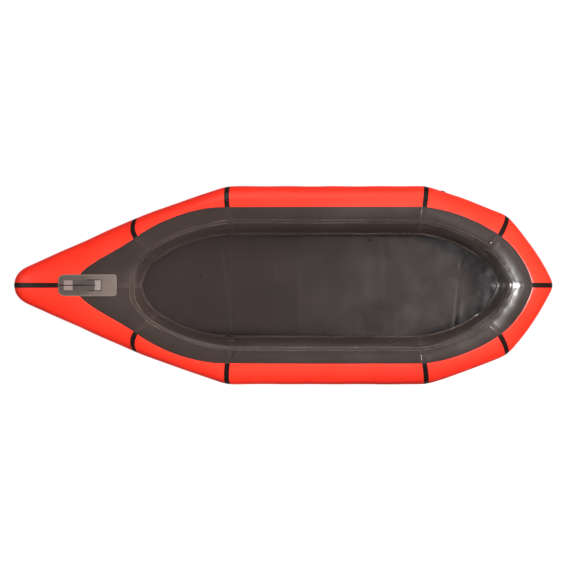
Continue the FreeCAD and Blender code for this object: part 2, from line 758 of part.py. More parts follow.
# ---------------------------------------------------------------- check and write

doc.recompute()
failed = [o.Name for o in doc.Objects if "Invalid" in o.State or "Error" in o.State]
if failed:
    raise RuntimeError(f"features that failed: {failed}")
os.makedirs("parts", exist_ok=True)
for piece in pieces:
    shape = piece.Shape
    if shape.isNull() or not shape.isValid() or shape.Volume <= 0:
        raise RuntimeError(f"{piece.Label} is not a sound solid")
    shape.exportStep(f"parts/{piece.Label}.step")
    print(f"{piece.Label}: {len(shape.Solids)} solid, {shape.Volume / 1000:.1f} cm3")
print(len(pieces), "pieces; valve at", valve_spot, "axis", valve_axis)
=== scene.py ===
# %% [markdown]
# # An inflatable kayak, dressed in Blender
# The kayak is a ring of air: flat panels of coated fabric are welded into one tube that runs round an open
# cockpit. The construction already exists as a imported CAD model, so this script only loads that model as a
# fixed frame and gives it its looks: tight but slightly rippled fabric, welded tapes, webbing and moulded
# plastic. Every object is in metres, with +X at the bow, +Y to port and +Z up. Cells that lay out a shape
# count in millimetres, as a boat builder does, and MM turns their points to metres at the end.

# %% Load the frame
import math
from collections import namedtuple

import bpy
import numpy as np
from mathutils import Matrix, Vector
from mathutils.bvhtree import BVHTree


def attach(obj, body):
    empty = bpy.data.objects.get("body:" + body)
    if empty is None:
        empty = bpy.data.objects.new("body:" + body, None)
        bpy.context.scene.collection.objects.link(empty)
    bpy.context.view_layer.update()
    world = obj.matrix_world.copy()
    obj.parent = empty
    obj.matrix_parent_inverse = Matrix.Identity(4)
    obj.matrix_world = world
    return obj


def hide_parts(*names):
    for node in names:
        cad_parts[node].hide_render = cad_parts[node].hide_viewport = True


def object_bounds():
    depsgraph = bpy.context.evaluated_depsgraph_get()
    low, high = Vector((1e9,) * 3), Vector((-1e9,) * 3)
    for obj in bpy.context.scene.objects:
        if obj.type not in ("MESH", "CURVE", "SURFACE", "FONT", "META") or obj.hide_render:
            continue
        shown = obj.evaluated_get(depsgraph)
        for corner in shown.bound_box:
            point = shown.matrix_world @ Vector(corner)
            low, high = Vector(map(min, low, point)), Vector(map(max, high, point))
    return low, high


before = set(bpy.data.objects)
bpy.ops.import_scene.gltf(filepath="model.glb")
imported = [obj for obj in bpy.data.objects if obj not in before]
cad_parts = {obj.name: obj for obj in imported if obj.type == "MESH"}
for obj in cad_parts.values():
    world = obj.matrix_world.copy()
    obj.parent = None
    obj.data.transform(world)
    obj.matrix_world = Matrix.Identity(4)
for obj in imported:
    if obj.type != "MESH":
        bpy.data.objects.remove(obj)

CAD_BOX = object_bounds()
MM = 0.001
CRAFT = bpy.context.scene.collection
print("CAD box", [list(corner) for corner in CAD_BOX])


# %% [markdown]
# ## Colours and nodes
# Paint charts and screens give colours as sRGB hex codes, while a shader works with linear light, so one
# function turns the first into the second. A second small function adds a node, sets its inputs and plugs
# links in, because a material is easier to read when each node takes one line.

# %% Helpers for materials
def linear(code):
    """Linear RGBA of an sRGB hex colour."""
    channels = [int(code[i:i + 2], 16) / 255 for i in (1, 3, 5)]
    return [c / 12.92 if c <= 0.04045 else ((c + 0.055) / 1.055) ** 2.4 for c in channels] + [1.0]


def node(tree, kind, inputs=None, **settings):
    """A new node; inputs maps a socket's name or number to a value or to another node's output."""
    made = tree.nodes.new(kind)
    for name, value in settings.items():
        setattr(made, name, value)
    for key, value in (inputs or {}).items():
        if isinstance(value, bpy.types.NodeSocket):
            tree.links.new(value, made.inputs[key])
        else:
            made.inputs[key].default_value = value
    return made


def new_material(name):
    """An empty node material with its output node."""
    material = bpy.data.materials.new(name)
    material.use_nodes = True
    material.node_tree.nodes.clear()
    return material, material.node_tree


def finish_material(tree, shader):
    node(tree, "ShaderNodeOutputMaterial", {"Surface": shader.outputs[0]})


# %% [markdown]
# ## Coated fabric
# The tube is nylon cloth with a urethane coat that was rolled on while soft. The coat fills the weave, so
# the eye gets a satin face in which the threads only just show, a soft gloss, and a colour that is a
# little uneven where the cloth was folded and handled. The weave follows the cloth, so it is drawn on the
# panel's own UV map, whose unit is one metre of cloth.

# %% Coated fabrics
def weave_height(tree, thread, uv):
    """Height of a plain weave: two sets of threads that pass over each other, thread metres apart."""
    parts = node(tree, "ShaderNodeSeparateXYZ", {0: uv})
    turns = 2 * math.pi / (2 * thread)
    waves = []
    for axis in (0, 1):
        angle = node(tree, "ShaderNodeMath", {0: parts.outputs[axis], 1: turns}, operation="MULTIPLY")
        waves.append(node(tree, "ShaderNodeMath", {0: angle.outputs[0]}, operation="SINE"))
    return node(tree, "ShaderNodeMath", {0: waves[0].outputs[0], 1: waves[1].outputs[0]},
                operation="MULTIPLY")


def coated_fabric(name, colour, faded, roughness, thread=1.1 * MM, weave=0.12, shine=0.28, mottle=0.5,
                  pale=None):
    """Woven cloth under a rolled plastic coat. The real thread spacing of 0.45 mm is too fine to show,
    so it is drawn coarser. Where the mesh has an attribute called Pale, the colour goes over to pale."""
    material, tree = new_material(name)
    uv = node(tree, "ShaderNodeUVMap", uv_map="Cloth")
    place = node(tree, "ShaderNodeTexCoord")
    # a scale is features per metre: handling leaves patches of 200 mm, scuffs are 15 mm, grain is 2 mm
    handling = node(tree, "ShaderNodeTexNoise",
                    {"Vector": place.outputs["Object"], "Scale": 5.0, "Detail": 5.0, "Roughness": 0.6})
    spread = node(tree, "ShaderNodeMapRange",
                  {0: handling.outputs[0], 1: 0.36, 2: 0.68, 3: 0.0, 4: mottle})
    scuffs = node(tree, "ShaderNodeTexNoise",
                  {"Vector": place.outputs["Object"], "Scale": 60.0, "Detail": 3.0, "Distortion": 0.8})
    marks = node(tree, "ShaderNodeMapRange", {0: scuffs.outputs[0], 1: 0.55, 2: 0.8, 3: 0.0, 4: 0.25})
    amount = node(tree, "ShaderNodeMath", {0: spread.outputs[0], 1: marks.outputs[0]}, operation="ADD",
                  use_clamp=True)
    tint = node(tree, "ShaderNodeMix", {0: amount.outputs[0], 6: linear(colour), 7: linear(faded)},
                data_type="RGBA")
    if pale:
        share = node(tree, "ShaderNodeAttribute", attribute_name="Pale")
        tint = node(tree, "ShaderNodeMix", {0: share.outputs["Fac"], 6: tint.outputs[2], 7: linear(pale)},
                    data_type="RGBA")
    gloss = node(tree, "ShaderNodeMapRange",
                 {0: handling.outputs[0], 1: 0.3, 2: 0.7, 3: roughness - 0.06, 4: roughness + 0.08})
    threads = weave_height(tree, thread, uv.outputs[0])
    grain = node(tree, "ShaderNodeTexNoise",
                 {"Vector": place.outputs["Object"], "Scale": 420.0, "Detail": 2.0})
    relief = node(tree, "ShaderNodeMath", {0: threads.outputs[0], 1: grain.outputs[0]}, operation="ADD")
    bump = node(tree, "ShaderNodeBump",
                {"Height": relief.outputs[0], "Strength": weave, "Distance": 0.25 * MM})
    shader = node(tree, "ShaderNodeBsdfPrincipled",
                  {"Base Color": tint.outputs[2], "Roughness": gloss.outputs[0],
                   "Normal": bump.outputs[0], "Specular IOR Level": shine, "IOR": 1.49})
    finish_material(tree, shader)
    return material


# the outer skin: a full red with a broad, satin gloss
RED = coated_fabric("red urethane-coated nylon, calendered", "#f62d1c", "#f83623", 0.38, weave=0.1)
# the same cloth on deck and inner wall: a warm dark grey with a slightly clearer gloss
GREY = coated_fabric("grey urethane-coated nylon, calendered", "#2b2320", "#352b28", 0.32)
# the floor's heavier cloth: darker, with a coarser weave that shows under the coat
FLOOR = coated_fabric("grey urethane-coated polyester, heavy", "#272020", "#302625", 0.32, weave=0.2,
                      thread=1.6 * MM)
# tapes: thin cloth melted on, so a smoother face that stands out as a crisp dark or slightly paler band
BLACK_TAPE = coated_fabric("black seam tape, hot-air welded", "#0f0b09", "#1b1512", 0.3, weave=0.16)
GREY_TAPE = coated_fabric("grey seam tape, hot-air welded", "#302724", "#3d322e", 0.3, weave=0.16)
# the patch: thick and paler than the deck, palest along its pressed rim and over its aft end
PATCH = coated_fabric("grey patch of heavy rubber-coated cloth", "#463d39", "#5a504b", 0.34, weave=0.2,
                      thread=1.8 * MM, pale="#60564f")
# the valve's flange: dull rubber that takes hardly any gleam
FLANGE = coated_fabric("black flange of rubber-coated cloth", "#1f1a18", "#322a27", 0.5, weave=0.2)
print("coated fabrics", len(bpy.data.materials))


# %% [markdown]
# ## Layout of the tube
# Ten panels long, called gores, make the ring. On the real boat each gore is cut from flat cloth, and the
# air makes it round: seen from above, its sides swell a little between the seams. So the layout needs
# only the seam points on the outer and the inner side, the swell of each gore, and the angles round the
# tube at which the red skin meets the grey deck and the deck meets the inner wall. A seam isn't quite
# flat: over the top of the tube it leans towards the bow by a few millimetres. An angle of 0 is the outer
# side of the tube, 90 its crest, 180 the cockpit side and 270 the keel.

# %% Seams and gores, in millimetres and degrees
Seam = namedtuple("Seam", "name outer inner edge lap height lean")
PORT_SEAMS = [
    Seam("stern_centre", (-1484, 0), (-1178, 0), 85, 124, 262, 0),
    Seam("corner", (-1225, 382), (-1085, 142), 85, 120, 262, -9),
    Seam("aft_shoulder", (-785, 544), (-742, 279), 85, 120, 262, 0),
    Seam("fore_shoulder", (315, 544), (290, 279), 85, 120, 262, 8),
    Seam("bow", (810, 368.5), (703, 139), 80, 122, 262, 40),
    Seam("bow_centre", (1478, 0), (775, 0), 95, 151, 215, 0)]
Gore = namedtuple("Gore", "name swell_out swell_in edge_dip")
PORT_GORES = [Gore("stern", 18, 15, 7), Gore("stern_quarter", 6, 25, 5), Gore("side", 0, 0, 0.5),
              Gore("bow_quarter", 3, 34, 11.5), Gore("bow", 0, 16, 8)]
SIDE_GORES = len(PORT_GORES)
ALL_GORES = 2 * SIDE_GORES
NOSE_RADIUS = 107
NOSE_TOUCH = (1414, 98)
TUBE_FOOT = 1.35
BOW_RISE = 60
RISE_START = 315
RISE_END = 1130
GRID = 6.0
SEAM_ROUND = 24.0


def swollen(start, end, swell, v):
    """Points from start to end that bow to the left of the way by swell at the middle."""
    start, end = np.array(start, float), np.array(end, float)
    way = (end - start) / np.linalg.norm(end - start)
    left = np.array([-way[1], way[0]])
    return start + np.outer(v, end - start) + np.outer(4 * v * (1 - v) * swell, left)


def nose_side(start, tip, v):
    """Points along the straight bow side and then round the nose."""
    start, touch = np.array(start, float), np.array(NOSE_TOUCH, float)
    centre = np.array([tip[0] - NOSE_RADIUS, 0.0])
    run = np.linalg.norm(touch - start)
    turn = math.atan2(touch[1], touch[0] - centre[0])
    along = v * (run + NOSE_RADIUS * turn)
    straight = start + np.outer(along / run, touch - start)
    angle = turn - (along - run) / NOSE_RADIUS
    bend = centre + NOSE_RADIUS * np.column_stack([np.cos(angle), np.sin(angle)])
    return np.where((along <= run)[:, None], straight, bend)


def port_half():
    """Rows of t, outer x y, inner x y, edge, lap, height and lean for the port half, stern to bow."""
    rows = []
    for number, gore in enumerate(PORT_GORES):
        aft, fore = PORT_SEAMS[number], PORT_SEAMS[number + 1]
        length = math.dist(aft.outer, fore.outer)
        v = np.arange(0, 1, 1 / round(length / GRID))
        outer = (nose_side(aft.outer, fore.outer, v) if gore.name == "bow"
                 else swollen(aft.outer, fore.outer, gore.swell_out, v))
        inner = swollen(aft.inner, fore.inner, gore.swell_in, v)
        edge = aft.edge + (fore.edge - aft.edge) * v - gore.edge_dip * 4 * v * (1 - v)
        lap = aft.lap + (fore.lap - aft.lap) * v
        height = aft.height + (fore.height - aft.height) * v
        lean = aft.lean + (fore.lean - aft.lean) * v
        rows.append(np.column_stack([number + v, outer, inner, edge, lap, height, lean]))
    return np.vstack(rows)


def ring_table():
    """The port half and its mirror image, as one closed ring that is rounded a little at each seam."""
    port = port_half()
    end = PORT_SEAMS[-1]
    tip = np.array([[SIDE_GORES, *end.outer, *end.inner, *end[3:]]])
    starboard = port[:0:-1].copy()
    starboard[:, 0] = ALL_GORES - starboard[:, 0]
    starboard[:, [2, 4, 8]] *= -1
    table = np.vstack([port, tip, starboard])
    reach = round(3 * SEAM_ROUND / GRID)
    steps = np.arange(-reach, reach + 1)
    weights = np.exp(-0.5 * (steps * GRID / SEAM_ROUND) ** 2)
    weights /= weights.sum()
    smooth = sum(w * np.roll(table[:, 1:], -k, axis=0) for k, w in zip(steps, weights))
    return np.column_stack([table[:, 0], smooth])


RING = ring_table()
print("ring of", len(RING), "sections,", ALL_GORES, "gores")


# %% [markdown]
# ## The skin as one function
# Every panel, tape and bead lies on the same skin, so one function gives the point of the skin for a place
# t along the ring, counted in gores, and an angle round the tube. It adds what tight cloth does: it is
# drawn in at each seam, puckers beside it where the tube bends, and waves a little in between. Because all
# pieces call it, a tape follows each pucker of the cloth below it.

# %% Skin of the tube
RANDOM = np.random.default_rng(11)
PUCKER_PHASES = RANDOM.uniform(0, 2 * math.pi, (ALL_GORES, 4))
PUCKER_WAVES = np.array([13.0, 19.0, 31.0, 44.0])
# heights and widths of the relief, in millimetres
SEAM_DRAW, SEAM_DRAW_WIDTH = 1.6, 20
FOLD_HEIGHT, FOLD_REACH, FOLD_CLEAR = 0.55, 46, 9
LAP_DRAW, LAP_DRAW_WIDTH = 1.8, 11
EDGE_DRAW, EDGE_DRAW_WIDTH = 0.9, 8
LAP_RIPPLE, LAP_RIPPLE_REACH = 0.85, 20
EDGE_RIPPLE, EDGE_RIPPLE_REACH = 0.35, 14
RIPPLE_WAVE = 38
SWELL_HEIGHT, SWELL_WAVE = 0.9, 230
WALL_FLAT = 6.0
WAVE_WAYS = RANDOM.normal(size=(7, 3))
WAVE_WAYS /= np.linalg.norm(WAVE_WAYS, axis=1)[:, None]
WAVE_PHASES = RANDOM.uniform(0, 2 * math.pi, 7)


def ring_at(t):
    """The ring's columns at each t, which may run past either end."""
    turns = np.mod(t, ALL_GORES)
    closed = np.vstack([RING, RING[:1]])
    closed[-1, 0] = ALL_GORES
    return [np.interp(turns, closed[:, 0], closed[:, k]) for k in range(1, closed.shape[1])]


def gentle_waves(points, wavelength):
    """Sum of plane waves in space, about -1 to 1, the same at the same place for every piece."""
    total = np.zeros(len(points))
    for way, phase in zip(WAVE_WAYS, WAVE_PHASES):
        total += np.sin(points @ way * (2 * math.pi / wavelength) + phase)
    return total / 3


def between(value, low, high):
    """0 below low, 1 above high, smooth between."""
    share = np.clip((value - low) / (high - low), 0, 1)
    return share * share * (3 - 2 * share)


def lean_share(angle):
    """How much of its lean a seam has at an angle: all of it near the crest, none at either side."""
    from_side = np.abs(np.mod(np.asarray(angle) + 180, 360) - 180)
    return between(from_side, 0, 70) * (1 - between(from_side, 80, 128))


def plain_skin(t, angle):
    """Points of the smooth tube in millimetres, its normals and its half height."""
    ox, oy, ix, iy, edge, lap, height, lean = ring_at(t)
    outer, inner = np.column_stack([ox, oy]), np.column_stack([ix, iy])
    middle = (outer + inner) / 2
    half_width = np.linalg.norm(outer - inner, axis=1) / 2
    away = (outer - inner) / (2 * half_width)[:, None]
    along = np.column_stack([away[:, 1], -away[:, 0]])
    share = np.clip((middle[:, 0] - RISE_START) / (RISE_END - RISE_START), 0, None)
    level = TUBE_FOOT + BOW_RISE * share ** 2 + height / 2
    turn = np.radians(angle)
    cos, sin = np.cos(turn), np.sin(turn)
    across = middle + away * (half_width * cos)[:, None] + along * (lean * lean_share(angle))[:, None]
    points = np.column_stack([across, level + height / 2 * sin])
    normals = np.column_stack([away * (cos / half_width)[:, None], sin / (height / 2)])
    normals /= np.linalg.norm(normals, axis=1)[:, None]
    return points, normals, height / 2


def puckers(t, angle, base, half_height):
    """Relief of the tight cloth in millimetres: drawn in at seams, folded beside them, waved between,
    and flatter on the inner wall, which makes a blunt edge at the lap."""
    nearest = np.round(t)
    seam = np.mod(nearest, ALL_GORES).astype(int)
    turn = np.radians(angle)
    away = np.linalg.norm(base - plain_skin(nearest, angle)[0], axis=1)
    fold = np.zeros(len(t))
    for wave, phases in zip(PUCKER_WAVES, PUCKER_PHASES[seam].T):
        fold += np.sin(turn * wave + phases + 0.4 * np.sin(turn * 5 + phases))
    cockpit_side = between(angle, 95, 150) * (1 - between(angle, 225, 262))
    outer_side = 1 - between(np.abs(angle - 5), 20, 60)
    strength = 0.35 + 1.5 * cockpit_side + 0.35 * outer_side
    drawn = -SEAM_DRAW * np.exp(-(away / SEAM_DRAW_WIDTH) ** 2)
    folds = FOLD_HEIGHT * strength * fold * np.exp(-away / FOLD_REACH)
    folds *= 1 - 0.6 * np.exp(-away / FOLD_CLEAR)
    edge, lap = ring_at(t)[4:6]
    off_lap = (angle - lap) * math.pi / 180 * half_height
    off_edge = (angle - edge) * math.pi / 180 * half_height
    lap_line = -LAP_DRAW * np.exp(-(off_lap / LAP_DRAW_WIDTH) ** 2)
    edge_line = -EDGE_DRAW * np.exp(-(off_edge / EDGE_DRAW_WIDTH) ** 2)
    beside_lap = LAP_RIPPLE * np.exp(-np.abs(off_lap) / LAP_RIPPLE_REACH)
    beside_edge = EDGE_RIPPLE * np.exp(-np.abs(off_edge) / EDGE_RIPPLE_REACH)
    cross = gentle_waves(base, RIPPLE_WAVE) * (beside_lap + beside_edge)
    wall_share = (2 * angle - lap - 180) / (180 - lap)
    wall = -WALL_FLAT * np.clip(1 - wall_share ** 2, 0, None)
    swell = SWELL_HEIGHT * gentle_waves(base, SWELL_WAVE)
    return drawn + folds + lap_line + edge_line + cross + wall + swell


def skin(t, angle, grow=0.0):
    """Points of the skin in metres, grow millimetres off it."""
    t, angle = (np.asarray(a, float).ravel() for a in np.broadcast_arrays(t, angle))
    base, normals, half_height = plain_skin(t, angle)
    lift = puckers(t, angle, base, half_height) + grow
    placed = base + normals * lift[:, None]
    placed[:, 2] = np.maximum(placed[:, 2], 0.2)
    return placed * MM


print("skin at the port side", skin(2.5, 0.0).round(3).tolist())


# %% [markdown]
# ## Meshes from grids
# A panel is a grid of points: rows along the ring, columns round the tube. One function turns such a grid
# into a mesh with a UV map in metres of cloth, and a Solidify modifier then gives the cloth its real
# thickness on the inner side, so that no sheet is a bare surface.

# %% Grid meshes
def grid_mesh(name, points, rows, columns, material, thickness=0.0, uv=None):
    """Mesh object from a grid of points in metres; the normal is columns' way times rows' way."""
    count = rows * columns
    index = np.arange(count).reshape(rows, columns)
    quads = np.stack([index[:-1, :-1], index[:-1, 1:], index[1:, 1:], index[1:, :-1]], axis=-1)
    quads = quads.reshape(-1, 4)
    mesh = bpy.data.meshes.new(name)
    mesh.vertices.add(count)
    mesh.vertices.foreach_set("co", np.asarray(points, np.float32).ravel())
    mesh.loops.add(quads.size)
    mesh.loops.foreach_set("vertex_index", quads.ravel().astype(np.int32))
    mesh.polygons.add(len(quads))
    mesh.polygons.foreach_set("loop_start", np.arange(0, quads.size, 4, dtype=np.int32))
    mesh.polygons.foreach_set("use_smooth", np.ones(len(quads), bool))
    cloth = points.reshape(rows, columns, 3)
    if uv is None:
        across = np.linalg.norm(np.diff(cloth[rows // 2], axis=0), axis=1)
        along = np.linalg.norm(np.diff(cloth[:, columns // 2], axis=0), axis=1)
        v = np.concatenate([[0], np.cumsum(across)])
        u = np.concatenate([[0], np.cumsum(along)])
        uv = np.stack(np.meshgrid(u, v, indexing="ij"), axis=-1).reshape(-1, 2)
    layer = mesh.uv_layers.new(name="Cloth")
    layer.data.foreach_set("uv", uv[quads.ravel()].astype(np.float32).ravel())
    mesh.update(calc_edges=True)
    mesh.materials.append(material)
    obj = bpy.data.objects.new(name, mesh)
    CRAFT.objects.link(obj)
    if thickness:
        solid = obj.modifiers.new("cloth thickness", "SOLIDIFY")
        solid.thickness = thickness * MM
        solid.offset = -1
    return obj


def skin_sheet(name, t_from, t_to, low, high, material, grow=0.0, thickness=0.9, step=GRID):
    """Sheet on the skin between two places along the ring and two angles, which may be functions of t."""
    middle = (t_from + t_to) / 2
    first, last = (f(np.array([middle]))[0] if callable(f) else f for f in (low, high))
    half_height = float(plain_skin(np.array([middle]), np.zeros(1))[2][0])
    girth = math.radians(last - first) * half_height
    steps = np.linspace(t_from, t_to, 60)
    path = skin(steps, (first + last) / 2)
    length = np.linalg.norm(np.diff(path, axis=0), axis=1).sum() / MM
    rows = max(3, round(length / step) + 1)
    columns = max(3, round(abs(girth) / step) + 1)
    t = np.linspace(t_from, t_to, rows)
    start = low(t) if callable(low) else np.full(rows, float(low))
    stop = high(t) if callable(high) else np.full(rows, float(high))
    share = np.linspace(0, 1, columns)
    angle = start[:, None] + (stop - start)[:, None] * share
    points = skin(np.repeat(t, columns), angle.ravel(), grow)
    return grid_mesh(name, points, rows, columns, material, thickness)


def edge_angle(t):
    return ring_at(t)[4]


def lap_angle(t):
    return ring_at(t)[5]


# %% [markdown]
# ## Panels of the tube
# Each gore has three panels: the red outer skin from the keel to just below the crest, the grey deck over
# the crest, and the grey inner wall down to the keel again. The deck reaches a little way under the red
# skin, where the two are lapped and welded, so the red skin's edge stands proud of the deck by its own
# thickness. The starboard gores run on round the ring in the same order.

# %% Thirty panels
LAP_UNDER = 4.0
BANDS = [
    ("outer", lambda t: np.full(len(t), -90.0), edge_angle, RED, 1.0),
    ("deck", lambda t: edge_angle(t) - LAP_UNDER, lap_angle, GREY, 0.0),
    ("inner", lambda t: lap_angle(t) - 0.4, lambda t: np.full(len(t), 270.0), GREY, -0.05)]
panels = {}
for place in range(ALL_GORES):
    port = place < SIDE_GORES
    gore = PORT_GORES[place if port else ALL_GORES - 1 - place]
    for band, low, high, material, grow in BANDS:
        cad_name = f"{'port' if port else 'starboard'}_{gore.name}_{band}"
        panel = skin_sheet(cad_name + "_cloth", place, place + 1, low, high, material, grow)
        panels[cad_name] = panel
        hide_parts(cad_name)
print(len(panels), "panels,", sum(len(p.data.polygons) for p in panels.values()), "faces")


# %% [markdown]
# ## Seam tapes
# Where two gores meet, their cut edges butt together and a tape is welded over them: black outside on the
# red skin, grey over the deck and the inner wall. A tape is a narrow sheet on the same skin, a little
# higher, so it follows each pucker.

# %% Tapes across the tube
TAPE_WIDTH = 27.5
TAPE_THICKNESS = 0.6
TAPE_FOOT = 58.0
TAPE_LIFT = 1.75
TAPE_STEP = 4.0
TAPE_TURN = math.degrees(TAPE_STEP / (PORT_SEAMS[0].height / 2))
PATCH_AFT, PATCH_FORE = 905, 1220
PATCH_GAP = 2


def tape_across(name, seam, low, high, material, creased=0.0):
    """Tape centred on a seam of the ring between two angles; creased gives it cross wrinkles that high."""
    angles = np.arange(low, high, TAPE_TURN)
    angles = np.append(angles, high)
    across = np.linspace(-0.5, 0.5, 13)
    reach = 0.02
    speed = np.linalg.norm(skin(seam + reach, angles) - skin(seam - reach, angles), axis=1) / (2 * reach)
    t = seam + np.outer(TAPE_WIDTH * MM / speed, across)
    crown = 0.5 * np.exp(-(across * TAPE_WIDTH / 3.5) ** 2) - 0.35 * (np.abs(across) > 0.49)
    turn = np.radians(angles)
    wrinkles = np.clip(np.sin(turn * 23) + np.sin(turn * 37 + 2) + np.sin(turn * 61 + 1) - 0.6, 0, None)
    lift = TAPE_LIFT + crown[None, :] + creased * wrinkles[:, None]
    points = skin(t.ravel(), np.repeat(angles, len(across)), lift.ravel())
    points = points.reshape(len(angles), len(across), 3)[:, ::-1].reshape(-1, 3)
    return grid_mesh(name, points, len(angles), len(across), material, TAPE_THICKNESS)


def bow_centre_angle(x):
    """Angle round the bow's centre section where its top passes over x."""
    outer, inner = PORT_SEAMS[-1].outer[0], PORT_SEAMS[-1].inner[0]
    return math.degrees(math.acos((2 * x - outer - inner) / (outer - inner)))


def seam_tapes():
    """Outer and inner tapes of all ten seams."""
    made = []
    for place in range(ALL_GORES):
        seam = PORT_SEAMS[place if place <= SIDE_GORES else ALL_GORES - place]
        side = "port" if place <= SIDE_GORES else "starboard"
        edge = float(edge_angle(np.array([float(place)]))[0])
        centre = seam.name.endswith("_centre")
        outer_node = f"{seam.name}_tape_outer" if centre else f"{side}_{seam.name}_tape_outer"
        inner_node = f"{seam.name}_tape_inner" if centre else f"{seam.name}_tapes_inner"
        outer_high = inner_low = edge
        if seam.name == "bow_centre":
            outer_high = bow_centre_angle(PATCH_FORE + PATCH_GAP)
            inner_low = bow_centre_angle(PATCH_AFT - PATCH_GAP)
        black = tape_across(outer_node + "_strip", place, -TAPE_FOOT, outer_high, BLACK_TAPE,
                            0.8 if seam.name == "bow_centre" else 0.0)
        grey = tape_across(f"{side}_{seam.name}_inner_strip", place, inner_low, 180 + TAPE_FOOT, GREY_TAPE)
        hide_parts(outer_node)
        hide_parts(inner_node)
        made += [black, grey]
    return made


tapes = seam_tapes()
print(len(tapes), "tapes")


# %% [markdown]
# ## Welded strips round the cockpit
# The deck and the inner wall are lapped and covered with a narrow strip that runs right round the cockpit.
# A second strip, wider and lower down, runs along the innermost line of the wall, so from above it borders
# the floor. A hot roller pressed them on, and the coat that was squeezed out stands as a thin bead along
# each edge. A bead follows a path, so Geometry Nodes draw it: the path's edges become a curve, and a small
# round profile is swept along it.

# %% Tools for Geometry Nodes
def new_tree(name, inputs):
    """A Geometry Nodes tree with one geometry in and out, and named number inputs."""
    tree = bpy.data.node_groups.new(name, "GeometryNodeTree")
    tree.interface.new_socket("Geometry", in_out="INPUT", socket_type="NodeSocketGeometry")
    tree.interface.new_socket("Geometry", in_out="OUTPUT", socket_type="NodeSocketGeometry")
    ids = {}
    for label in inputs:
        socket = tree.interface.new_socket(label, in_out="INPUT", socket_type="NodeSocketFloat")
        ids[label] = socket.identifier
    return tree, ids, tree.nodes.new("NodeGroupInput")


def end_tree(tree, geometry, material):
    real = node(tree, "GeometryNodeRealizeInstances", {0: geometry})
    dressed = node(tree, "GeometryNodeSetMaterial", {0: real.outputs[0], "Material": material})
    node(tree, "NodeGroupOutput", {0: dressed.outputs[0]})


def polyline(name, chains):
    """Mesh of bare edges through each chain of points, as the path for a tree."""
    points, edges = [], []
    for chain in chains:
        start = len(points)
        points += [tuple(p) for p in chain]
        edges += [(i, i + 1) for i in range(start, len(points) - 1)]
    mesh = bpy.data.meshes.new(name)
    mesh.from_pydata(points, edges, [])
    obj = bpy.data.objects.new(name, mesh)
    CRAFT.objects.link(obj)
    return obj


def made_by(tree, ids, values, path, name):
    """Plain mesh object that the tree makes from the path; the path is deleted."""
    modifier = path.modifiers.new("maker", "NODES")
    modifier.node_group = tree
    for label, value in values.items():
        modifier[ids[label]] = value
    graph = bpy.context.evaluated_depsgraph_get()
    mesh = bpy.data.meshes.new_from_object(path.evaluated_get(graph))
    mesh.name = name
    bpy.data.objects.remove(path)
    obj = bpy.data.objects.new(name, mesh)
    CRAFT.objects.link(obj)
    return obj


# %% [markdown]
# The tree for a bead is the shortest kind: an edge path becomes a curve, a circle is swept along it, and
# the result is smoothed. Its one input is the bead's radius.

# %% The bead tree
def bead_tree(material):
    """Geometry Nodes tree that sweeps a round bead along a path."""
    tree, ids, group = new_tree("Weld bead along a path", ["Bead radius"])
    curve = node(tree, "GeometryNodeMeshToCurve", {0: group.outputs[0]})
    profile = node(tree, "GeometryNodeCurvePrimitiveCircle",
                   {"Resolution": 6, "Radius": group.outputs["Bead radius"]})
    bead = node(tree, "GeometryNodeCurveToMesh", {0: curve.outputs[0], 1: profile.outputs[0],
                                                  "Fill Caps": True})
    smooth = node(tree, "GeometryNodeSetShadeSmooth", {0: bead.outputs[0]})
    end_tree(tree, smooth.outputs[0], material)
    return tree, ids


# coat without cloth in it, glossy and paler than the strip: partly the bare set coat, partly a painted
# highlight that draws each bead as a thin light line
WELD_WITH_PAINTED_GLEAM = coated_fabric("grey urethane coat, squeezed out and set", "#4e443e", "#6b5f57", 0.24, weave=0.05)
BEAD_TREE, BEAD_IDS = bead_tree(WELD_WITH_PAINTED_GLEAM)
print("bead tree inputs", list(BEAD_IDS))


# %% [markdown]
# A strip is a narrow sheet on the skin, as a tape is, but it runs along the ring. The upper strip lies over
# the lap, and the lower one runs from a little above the cockpit side to a little below it.

# %% Four strips, each with two beads
STRIP_LIFT = 1.6
STRIP_STEP = 4.0
BEAD_SINK = 0.3
BEAD_RADIUS = 1.25 * MM
BEAD_POINTS = 900
LAP_STRIP_HALF = 4.2
FOOT_TOP, FOOT_END = 170.5, 196.0


def lap_low(t):
    return lap_angle(t) - LAP_STRIP_HALF


def lap_high(t):
    return lap_angle(t) + LAP_STRIP_HALF


def foot_low(t):
    """Upper edge of the lower strip, which wanders a little because it was laid by hand."""
    return FOOT_TOP + 1.6 * np.sin(t * 41) + 1.1 * np.sin(t * 97 + 1)


def foot_high(t):
    return np.full(len(t), FOOT_END)


def welded_strip(name, t_from, t_to, low, high):
    """Strip round the cockpit between two angles, with a bead along both edges."""
    strip = skin_sheet(name + "_strip", t_from, t_to, low, high, GREY_TAPE, STRIP_LIFT, 0.5, STRIP_STEP)
    t = np.linspace(t_from, t_to, BEAD_POINTS)
    chains = [skin(t, edge(t), STRIP_LIFT - BEAD_SINK) for edge in (low, high)]
    beads = made_by(BEAD_TREE, BEAD_IDS, {"Bead radius": BEAD_RADIUS},
                    polyline(name + "_path", chains), name + "_beads")
    return [strip, beads]


strips = []
for side, t_from, t_to in (("port", 0, SIDE_GORES), ("starboard", SIDE_GORES, ALL_GORES)):
    strips += welded_strip(side + "_lap", t_from, t_to, lap_low, lap_high)
    strips += welded_strip(side + "_foot", t_from, t_to, foot_low, foot_high)
print(len(strips), "strips and beads")


# %% [markdown]
# ## Floor
# The floor is one heavy cloth in two lengths, welded along the keel of the tube and lapped across a little
# forward of the middle. The tube pulls it tight, so it lies nearly flat, with shallow creases where it was
# folded for packing and small ripples beside the tube. The pull of the tube lifts it a little all round, so
# it is slightly dished, and it rises with the bow.

# %% The keel line and the creases
CREASE_FADE = 40
KEEL = plain_skin(np.linspace(0, SIDE_GORES, 400), np.full(400, 270.0))[0]


